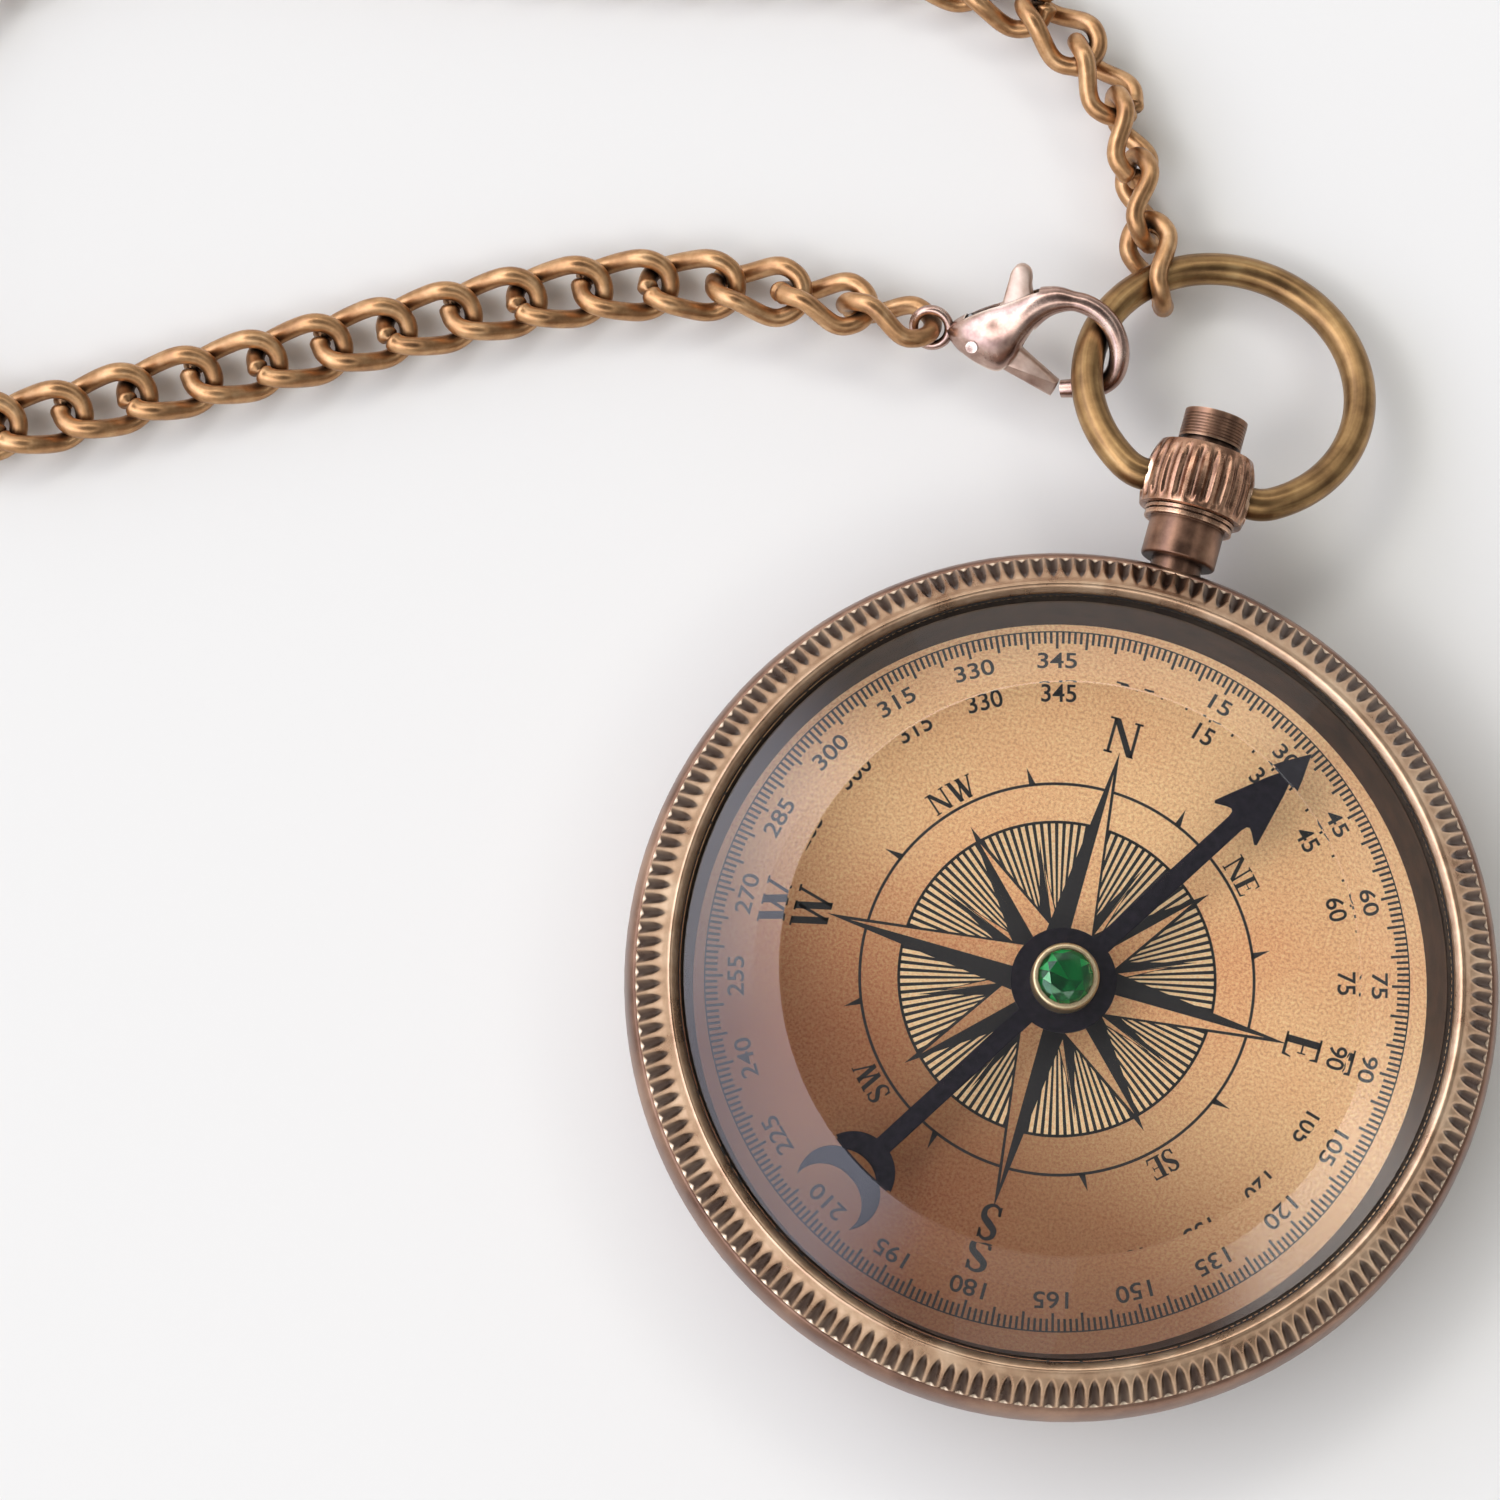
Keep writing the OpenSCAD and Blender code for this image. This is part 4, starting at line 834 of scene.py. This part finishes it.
chain = {
    "reach": (93, 31.5), "axisY": 34.2, "pitch": 4.45, "half": 2.925, "reachOut": 0.075, "r": 1.95,
    "wire": 0.625, "twist": 26, "leanShort": 1.1, "square": (2.45, 2.2), "snap": 0.04,
    "firstRoll": 62, "rollStep": 20, "endRoll": -110,  # links roll over step by step at both ends
    "eye": (-19.7979, 41.0505, 2.4776), "endAt": (-6.661, 49.369, 2.604), "endHeading": 118,
    "runs": (16, 28, 39, 44), "routeSteps": 12, "steps": 80, "sides": 18, "hair": 1e-6, "seamTurn": 0.35,
    "notch": (0.8, 0.9), "squeeze": (0.15, 2.6, 1.2),  # at the seam: how much, where and how wide, in steps
    "streakShift": 31.7, "endNumber": 51,  # so that no two links have the same streaks
}
routeShares = [  # the chain's route as shares of its reach, from the clasp round to the bow
    (0.302, 0.213), (0.401, 0.165), (0.488, 0.063), (0.570, -0.070), (0.654, -0.216), (0.739, -0.362),
    (0.809, -0.489), (0.872, -0.559), (0.936, -0.517), (0.983, -0.368), (1.000, -0.149), (0.991, 0.121),
    (0.957, 0.375), (0.894, 0.575), (0.798, 0.698), (0.638, 0.771), (0.479, 0.867), (0.340, 0.978),
    (0.239, 0.981), (0.184, 0.930), (0.143, 0.848), (0.113, 0.737),
]
heading = math.radians(chain["endHeading"])
endWay = Vector((math.cos(heading), math.sin(heading), 0))
chainEnd = Vector(chain["endAt"]) + endWay * chain["pitch"] / 2
middle = [Vector((-chain["reach"][0] * x, chain["axisY"] + chain["reach"][1] * y)) for x, y in routeShares]
eye = Vector(chain["eye"])
start = eye.xy + (middle[0] - eye.xy).normalized() * (chain["half"] - chain["pitch"] / 2)
route = smoothed([start] + middle + [chainEnd.xy], chain["routeSteps"])
ways = [0]
for a, b in zip(route, route[1:]):
    ways.append(ways[-1] + (b - a).length)
linkCount = round(ways[-1] / chain["pitch"])


def onRoute(s):
    s = min(s, ways[-1] - chain["hair"])
    i = max(k for k in range(len(ways) - 1) if ways[k] <= s)
    return route[i].lerp(route[i + 1], (s - ways[i]) / (ways[i + 1] - ways[i]))


def linkRoll(k):
    fromStart = chain["firstRoll"] - chain["rollStep"] * k
    fromEnd = chain["endRoll"] + chain["rollStep"] * (linkCount - k)
    return max(fromStart, 0) + min(fromEnd, 0)


def linkHeight(roll):  # half of what a link needs between the table and its top
    a, t = math.radians(roll), math.radians(chain["twist"])
    return (chain["r"] * math.cos(t) * abs(math.sin(a)) + chain["r"] * math.sin(t) * abs(math.cos(a))
            + chain["wire"] + chain["snap"])


def jointAt(k):
    if k == 0:
        z = eye.z
    elif k == linkCount:
        z = chainEnd.z
    else:
        z = (linkHeight(linkRoll(k - 1)) + linkHeight(linkRoll(k))) / 2
    return Vector((*onRoute(ways[-1] * k / linkCount), z))


def squarish(share, power):  # a circle's cosine or sine, drawn out towards a square's
    return math.copysign(abs(share) ** (2 / power), share)


def linkPath(steps):  # squarish oval, its two ends turned opposite ways
    path, twist = [], math.radians(chain["twist"])
    for i in range(steps):
        a = math.tau * (i + 0.5) / steps - chain["seamTurn"]
        x = (chain["half"] + chain["reachOut"]) * squarish(math.cos(a), chain["square"][0])
        y = chain["r"] * squarish(math.sin(a), chain["square"][1])
        lean = min(max(x / (chain["half"] - chain["leanShort"]), -1), 1)
        path.append(Vector((x, y * math.cos(twist), y * math.sin(twist) * (1.5 * lean - 0.5 * lean ** 3))))
    return path


notchDeep, notchWide = chain["notch"]
squeezeUp, squeezeAt, squeezeWide = chain["squeeze"]
pinched = []
for i in range(chain["steps"]):
    off = min(i + 0.5, chain["steps"] - i - 0.5)  # steps from the seam: a notch, then the squeezed ends
    notch = notchDeep * math.exp(-(off / notchWide) ** 2)
    squeeze = squeezeUp * math.exp(-((off - squeezeAt) / squeezeWide) ** 2)
    pinched.append(chain["wire"] * (1 - notch + squeeze))
linkShape = sweep(linkPath(chain["steps"]), pinched, chain["sides"], Vector((0, 0, 1)), True)


def linkBetween(a, b, roll, number):
    v = b - a
    centre = (a + b) / 2
    pitch, head = math.degrees(math.asin(v.z / v.length)), math.degrees(math.atan2(v.y, v.x))
    flip = -1 if number % 2 else 1  # seams fall above and below by turns
    points = [centre + turned((p[0], p[1] * flip, p[2] * flip), roll, pitch, head) for p in linkShape[0]]
    wire = [(u + number * chain["streakShift"], v1, w) for u, v1, w in linkShape[2]]
    return points, linkShape[1], wire


def layLinks(name, links):  # a run of separate links as one piece
    run = addClosed(name, *joined(links))
    place(run, "bow_and_chain", "bow_brass", linkBrass, name)


joints = [jointAt(k) for k in range(linkCount + 1)]
first = 0
for name, last in zip(("chain_clasp_run", "chain_left_run", "chain_top_run", "chain_bow_run"), chain["runs"]):
    layLinks(name, [linkBetween(joints[k], joints[k + 1], linkRoll(k), k) for k in range(first, last)])
    first = last
bowEnd = chainEnd - endWay * chain["pitch"]
layLinks("chain_end_link", [linkBetween(chainEnd, bowEnd, chain["endRoll"], chain["endNumber"])])


# Bow: one bent wire, drawn and brushed along its length

bow = {
    "r": 9.2, "wire": 1.075, "tilt": 17.9108, "centre": 8.10663, "endTurn": 28.2, "pinIn": 2.25,
    "axis": (34.2, 7.2), "pinSteps": 16, "ringSteps": 300, "easeSteps": 5, "sides": 40, "sharp": 50,
}


def onBow(x, v):  # a place in the ring's own plane
    tilt = math.radians(bow["tilt"])
    return Vector((x, bow["axis"][0] + v * math.cos(tilt), bow["axis"][1] - v * math.sin(tilt)))


elbow = bow["r"] * math.sin(math.radians(bow["endTurn"]))
pin = [(between(bow["pinIn"], elbow, i / bow["pinSteps"]), 0.0) for i in range(bow["pinSteps"])]
bent = pin + around((0, bow["centre"]), bow["r"], bow["endTurn"] - 90, 270 - bow["endTurn"], bow["ringSteps"])
bent += [(-x, y) for x, y in pin[::-1]]
bowPath = []
for i in range(len(bent)):  # elbows eased by a running mean
    reach = min(bow["easeSteps"], i, len(bent) - 1 - i)
    near = bent[i - reach:i + reach + 1]
    bowPath.append(onBow(sum(q[0] for q in near) / len(near), sum(q[1] for q in near) / len(near)))
planeUp = (onBow(0, 1) - onBow(0, 0)).cross(Vector((1, 0, 0)))
ring = addClosed("bow", *sweep(bowPath, [bow["wire"]] * len(bowPath), bow["sides"], planeUp, False))
markSharp(ring, bow["sharp"])
place(ring, "bow_and_chain", "bow_brass", wireBrass, "bow")
print("chain and bow made")


# Clasp: cast drop with its eye and hook, and the lever in its slot

clasp = {
    "at": (-14.611, 41.444, 3.55058), "turns": (30.5, 11, 3.2), "t": 2.8, "hookC": (4.1, -0.1), "hookR": 3.45,
    "endR": 2, "wire": 0.68, "rootTurn": 92, "hookTurn": -10, "endTurn": -77, "finger": 2.1,
    "fingerShare": 0.88, "hookSteps": 9, "endSteps": 5, "loftSteps": 6, "sides": 32, "sharp": 40,
    "eyeR": 1.22, "eyeWire": 0.33, "eyeY": -0.12, "eyeIn": 0.05, "eyeSteps": 48, "eyeSides": 16,
    "slot": (-3.05, 1.7, 1.16, 7),  # its back, front and width, and how far the cutter reaches up and down
    "rivet": (-2.2, -0.6),
}
dropShares = [  # lower end, upper end, thickness, as in the construction
    ((-1.20, -0.12), (-1.20, 0.06), 0.22), ((-1.09, -0.26), (-1.08, 0.21), 0.50),
    ((-0.86, -0.44), (-0.81, 0.41), 0.82), ((-0.51, -0.61), (-0.46, 0.62), 0.98),
    ((-0.10, -0.69), (-0.17, 0.77), 1.00), ((0.18, -0.40), (0.03, 0.88), 0.98),
    ((0.33, -0.03), (0.22, 0.99), 0.92), ((0.53, 0.33), (0.43, 1.11), 0.80),
    ((0.75, 0.58), (0.67, 1.18), 0.67), ((0.96, 0.71), (0.90, 1.20), 0.56),
]


def polar(r, degrees):
    return Vector((r * math.cos(math.radians(degrees)), r * math.sin(math.radians(degrees))))


hookR, wire = clasp["hookR"], clasp["wire"]
hookC = Vector(clasp["hookC"])
endC = hookC + polar(hookR - clasp["endR"], clasp["hookTurn"])
tip = endC + polar(clasp["endR"], clasp["endTurn"]) + polar(clasp["finger"], clasp["endTurn"] - 90)
fingerR = clasp["fingerShare"] * wire
rows = [(*(hookR * c for c in low), *(hookR * c for c in high), clasp["t"] / 2 * share)
        for low, high, share in dropShares]


def hookRow(centre, r, degrees):
    return (*(centre + polar(r - wire, degrees)), *(centre + polar(r + wire, degrees)), wire)


hookSteps, endSteps = clasp["hookSteps"], clasp["endSteps"]
rootTurn, hookTurn, endTurn = clasp["rootTurn"], clasp["hookTurn"], clasp["endTurn"]
rows += [hookRow(hookC, hookR, between(rootTurn, hookTurn, i / hookSteps)) for i in range(hookSteps + 1)]
rows += [hookRow(endC, clasp["endR"], between(hookTurn, endTurn, i / endSteps))
         for i in range(1, endSteps + 1)]
across = polar(fingerR, endTurn)
rows.append((*(tip - across), *(tip + across), fingerR))
claspRings = []
for row in smoothed(rows, clasp["loftSteps"]):
    low, high = Vector(row[0:2]), Vector(row[2:4])
    ring = []
    for j in range(clasp["sides"]):
        a = math.tau * j / clasp["sides"]
        p = (low + high) / 2 + (high - low) / 2 * math.cos(a)
        ring.append((p.x, p.y, row[4] * math.sin(a)))
    claspRings.append(ring)


def onClasp(p):  # from the clasp's own frame, flat and hook to the right, to its place
    return Vector(clasp["at"]) + turned(p, *clasp["turns"])


def claspPart(name, points, faces):
    return addClosed(name, [onClasp(p) for p in points], faces)


def block(low, high):  # a box from corner to corner
    base = [(low[0], low[1]), (high[0], low[1]), (high[0], high[1]), (low[0], high[1])]
    return skin([[(x, y, z) for x, y in base] for z in (low[2], high[2])])


claspBody = claspPart("clasp_body", *skin(claspRings))
back, front, slotT, slotReach = clasp["slot"]
carve(claspBody, claspPart("slot", *block((back, -slotReach, -slotT / 2), (front, slotReach, slotT / 2))))
eyeAt = Vector((dropShares[0][0][0] * hookR - clasp["eyeR"] + clasp["eyeIn"], clasp["eyeY"], 0))
eyeSteps = clasp["eyeSteps"]
eyePath = [eyeAt + Vector((*polar(clasp["eyeR"], 360 * i / eyeSteps), 0)) for i in range(eyeSteps)]
eyeRing = sweep(eyePath, [clasp["eyeWire"]] * eyeSteps, clasp["eyeSides"], Vector((0, 0, 1)), True)
carve(claspBody, claspPart("eye", *eyeRing[:2]), "UNION")
markSharp(claspBody, clasp["sharp"])
place(claspBody, "bow_and_chain", "clasp_copper", claspPlate, "clasp_body")

gate = {  # its finger end clears the hook's; the lug is drawn in the clasp's own frame
    "t": 1, "hubR": 0.75, "hubTurns": (120, 250), "hubSteps": 14, "ease": 0.14, "gap": 0.08, "endEase": 0.1,
    "endSteps": 4, "under": (1.5, -1.2), "over": (3, 0.225), "lugSteps": 5, "sharp": 50,
    "lug": [(1.6, 2.8), (1.28, 3.3), (1.06, 3.9), (1.02, 4.5), (0.84, 5.0), (0.4, 5.25), (-0.08, 5.12),
            (-0.34, 4.65), (-0.42, 4.1), (-0.55, 3.3), (-0.66, 2.5)],
}
rivetX, rivetY = clasp["rivet"]
gateReach = (tip - across - Vector(clasp["rivet"])).length - gate["gap"]


def gateEnd(y):
    return rivetX + math.sqrt(gateReach ** 2 - (y - rivetY) ** 2), y


endLow, endHigh = tip.y - fingerR + gate["endEase"], tip.y + fingerR - gate["endEase"]
outline = [(rivetX, rivetY - gate["hubR"]), (rivetX + gate["under"][0], rivetY + gate["under"][1])]
outline += [gateEnd(between(endLow, endHigh, i / gate["endSteps"])) for i in range(gate["endSteps"] + 1)]
outline.append((rivetX + gate["over"][0], rivetY + gate["over"][1]))
outline += [tuple(p) for p in smoothed(gate["lug"], gate["lugSteps"])]
outline += around((rivetX, rivetY), gate["hubR"], *gate["hubTurns"], gate["hubSteps"])
leverT, ease = gate["t"] / 2, gate["ease"]
layers = [(-leverT, ease), (-leverT + ease, 0), (leverT - ease, 0), (leverT, ease)]
lever = claspPart("clasp_lever", *plate(outline, layers))
markSharp(lever, gate["sharp"])
place(lever, "clasp_gate", "lever_copper", leverPlatePaintedLight, "clasp_lever")
print("clasp made")


# Crystal: thick disc, wide ground bevel, its edges just broken

crystal = {
    "r": 25, "flatR": 18.65, "z": (9.7, 10.9, 14.3), "broken": 0.07, "flatEase": 0.2,
    "steps": 480, "sharp": 8,
}
low, edge, top = crystal["z"]
broken, outerR, flatR = crystal["broken"], crystal["r"], crystal["flatR"]
lean = Vector((outerR - flatR, edge - top)).normalized() * broken  # down the bevel
profile = [(0, low), (outerR - broken, low), (outerR, low + broken), (outerR, edge - broken),
           (outerR - lean.x, edge - lean.y), (flatR + lean.x, top + lean.y),
           (flatR, top - broken * crystal["flatEase"]), (flatR - broken, top), (0, top)]
lens = addClosed("crystal", *revolve(profile, crystal["steps"], lambda k, r, z, a: (r, z, 0))[:2])
markSharp(lens, crystal["sharp"])
place(lens, "case", "crystal_glass", crystalGlass, "crystal")


# Bezel: coin edge of leaf-shaped flutes, smooth slope inside them

bezel = {
    "rimR": 27.8, "inR": 26.1, "gasketR": 25.5, "skirtR": 26.76, "z": (8.45, 9.2, 9.55, 11.25),
    "shoulderSteps": 18, "bulge": 0.1, "slopeUp": 0.27, "hollow": 0.17, "sharp": 48,
    "ridge": (25.65, 11.7), "ridgeEase": [(0.07, -0.03), (-0.05, -0.01)],
    "lip": (25.1, 11.3, 10.9), "lipEase": (0.06, 0.03, 0.05),
    "flutes": 180, "perFlute": 10, "deep": 0.32, "cutShare": 0.7071,  # cut in at 45 degrees
    "leaf": (0.94, 2.6, 0.75), "narrowest": 0.02, "valley": 1.7, "runOut": 2.4,  # width, its two powers
}
skirtZ, rimZ, edgeZ, topZ = bezel["z"]
shoulder = []
for i in range(bezel["shoulderSteps"] + 1):
    t = i / bezel["shoulderSteps"]
    shoulder.append((between(bezel["rimR"], bezel["inR"], t),
                     between(edgeZ, topZ, t) + bezel["bulge"] * math.sin(math.pi * t)))
ridgeR, ridgeZ = bezel["ridge"]
lipR, lipTop, lipZ = bezel["lip"]
lipIn, lipOver, lipUnder = bezel["lipEase"]
gasketR, skirtR = bezel["gasketR"], bezel["skirtR"]
profile = [(gasketR, skirtZ), (skirtR, skirtZ), (skirtR, rimZ), (bezel["rimR"], rimZ)]
firstFlute = len(profile)
profile += shoulder
lastFlute = len(profile) - 1
profile.append((between(bezel["inR"], ridgeR, 0.5), topZ + bezel["slopeUp"]))
profile += [(ridgeR + r, ridgeZ + z) for r, z in bezel["ridgeEase"]]
profile += [(between(ridgeR, lipR, 0.5), ridgeZ - bezel["hollow"]), (lipR + lipIn, lipTop + lipOver),
            (lipR, lipTop - lipUnder), (lipR, lipZ), (gasketR, lipZ)]


def fluted(k, r, z, a):  # flutes are wide at the edge and come to a point inside
    if k < firstFlute or k > lastFlute:
        return r, z, 0
    s = (k - firstFlute) / (lastFlute - firstFlute)
    off = abs((a / math.tau * bezel["flutes"]) % 1 - 0.5) * 2  # 0 in the valley, 1 on the ridge
    widest, bend, point = bezel["leaf"]
    wide = widest * (1 - s ** bend) ** point
    if wide < bezel["narrowest"] or off >= wide:
        return r, z, 0
    share = (1 - (off / wide) ** bezel["valley"]) * min(1, (1 - s) * bezel["runOut"])
    drop = bezel["deep"] * share * bezel["cutShare"]
    return r - drop, z - drop, share


rim = addClosed("bezel", *revolve(profile, bezel["flutes"] * bezel["perFlute"], fluted))
markSharp(rim, bezel["sharp"])
place(rim, "case", "bezel_copper", bezelCopper, "bezel")


# Crown: barrel with worn flutes over a stepped foot; the bow's ends and the button sit in it

crown = {
    "at": (31.6, 7.2), "r": 3.7, "length": 5.2, "flutes": 24, "perFlute": 14, "deep": 0.24, "sharp": 50,
    "foot": 2.95,
    "footSteps": [(0, 0), (0, 0.26), (-0.1, 0.29), (-0.1, 0.36), (0.05, 0.4), (0.08, 0.6), (-0.02, 0.64)],
    "belly": 0.95, "bellyFrom": 0.2, "bellyTo": 0.93, "bellyPower": 0.55,
    "barrelZ": (0.72, 0.1), "barrelSteps": 24,
    "topR": 2.72, "boreR": 1.895, "boreL": 1.435, "boreEase": 0.05, "chamberR": 1.45,
    "bowBore": 1.125, "bowReach": 5, "bowSides": 48,
    "wear": (0.75, 1.1), "fade": (0.16, 0.3), "valley": 0.7, "seed": 11,  # each flute is worn differently
}
length, belly = crown["length"], crown["belly"]
startZ, endGap = crown["barrelZ"]
barrel = []
for i in range(crown["barrelSteps"] + 1):
    t = i / crown["barrelSteps"]
    swell = math.sin(math.pi * between(crown["bellyFrom"], crown["bellyTo"], t)) ** crown["bellyPower"]
    barrel.append((crown["r"] - belly + belly * swell, between(startZ, length - endGap, t)))
profile = [(crown["chamberR"], 0)] + [(crown["foot"] + r, z) for r, z in crown["footSteps"]]
firstWorn = len(profile)
profile += barrel
lastWorn = len(profile) - 1
boreR, boreZ, boreEase = crown["boreR"], length - crown["boreL"], crown["boreEase"]
profile += [(crown["topR"], length), (boreR + boreEase, length), (boreR, length - boreEase), (boreR, boreZ),
            (crown["chamberR"], boreZ)]
random.seed(crown["seed"])
fluteWear = [random.uniform(*crown["wear"]) for i in range(crown["flutes"])]


def barrelled(k, r, z, a):  # flutes fade out towards both ends of the barrel
    if k < firstWorn or k > lastWorn:
        return r, z, 0
    s = (k - firstWorn) / (lastWorn - firstWorn)
    turnShare = a / math.tau * crown["flutes"]
    off = abs(turnShare % 1 - 0.5) * 2
    fade = smoothStep(s / crown["fade"][0]) * smoothStep((1 - s) / crown["fade"][1])
    share = fluteWear[int(turnShare) % crown["flutes"]] * fade * max(0, 1 - (off / crown["valley"]) ** 2)
    return r - crown["deep"] * share, z, share


def onPendant(p):  # from a part's own axis to the pendant's
    return Vector((p[0], crown["at"][0] + p[2], crown["at"][1] - p[1]))


points, faces, grooves = revolve(profile, crown["flutes"] * crown["perFlute"], barrelled)
knob = addClosed("crown", [onPendant(p) for p in points], faces, grooves)
acrossCrown = [onPendant((x, 0, length / 2)) for x in (-crown["bowReach"], crown["bowReach"])]
pinHole = sweep(acrossCrown, [crown["bowBore"]] * 2, crown["bowSides"], Vector((0, 0, 1)), False)
carve(knob, addClosed("pin_hole", *pinHole[:2]))
markSharp(knob, crown["sharp"])
place(knob, "case", "crown_copper", crownCopper, "crown")
print("bezel and crown made")
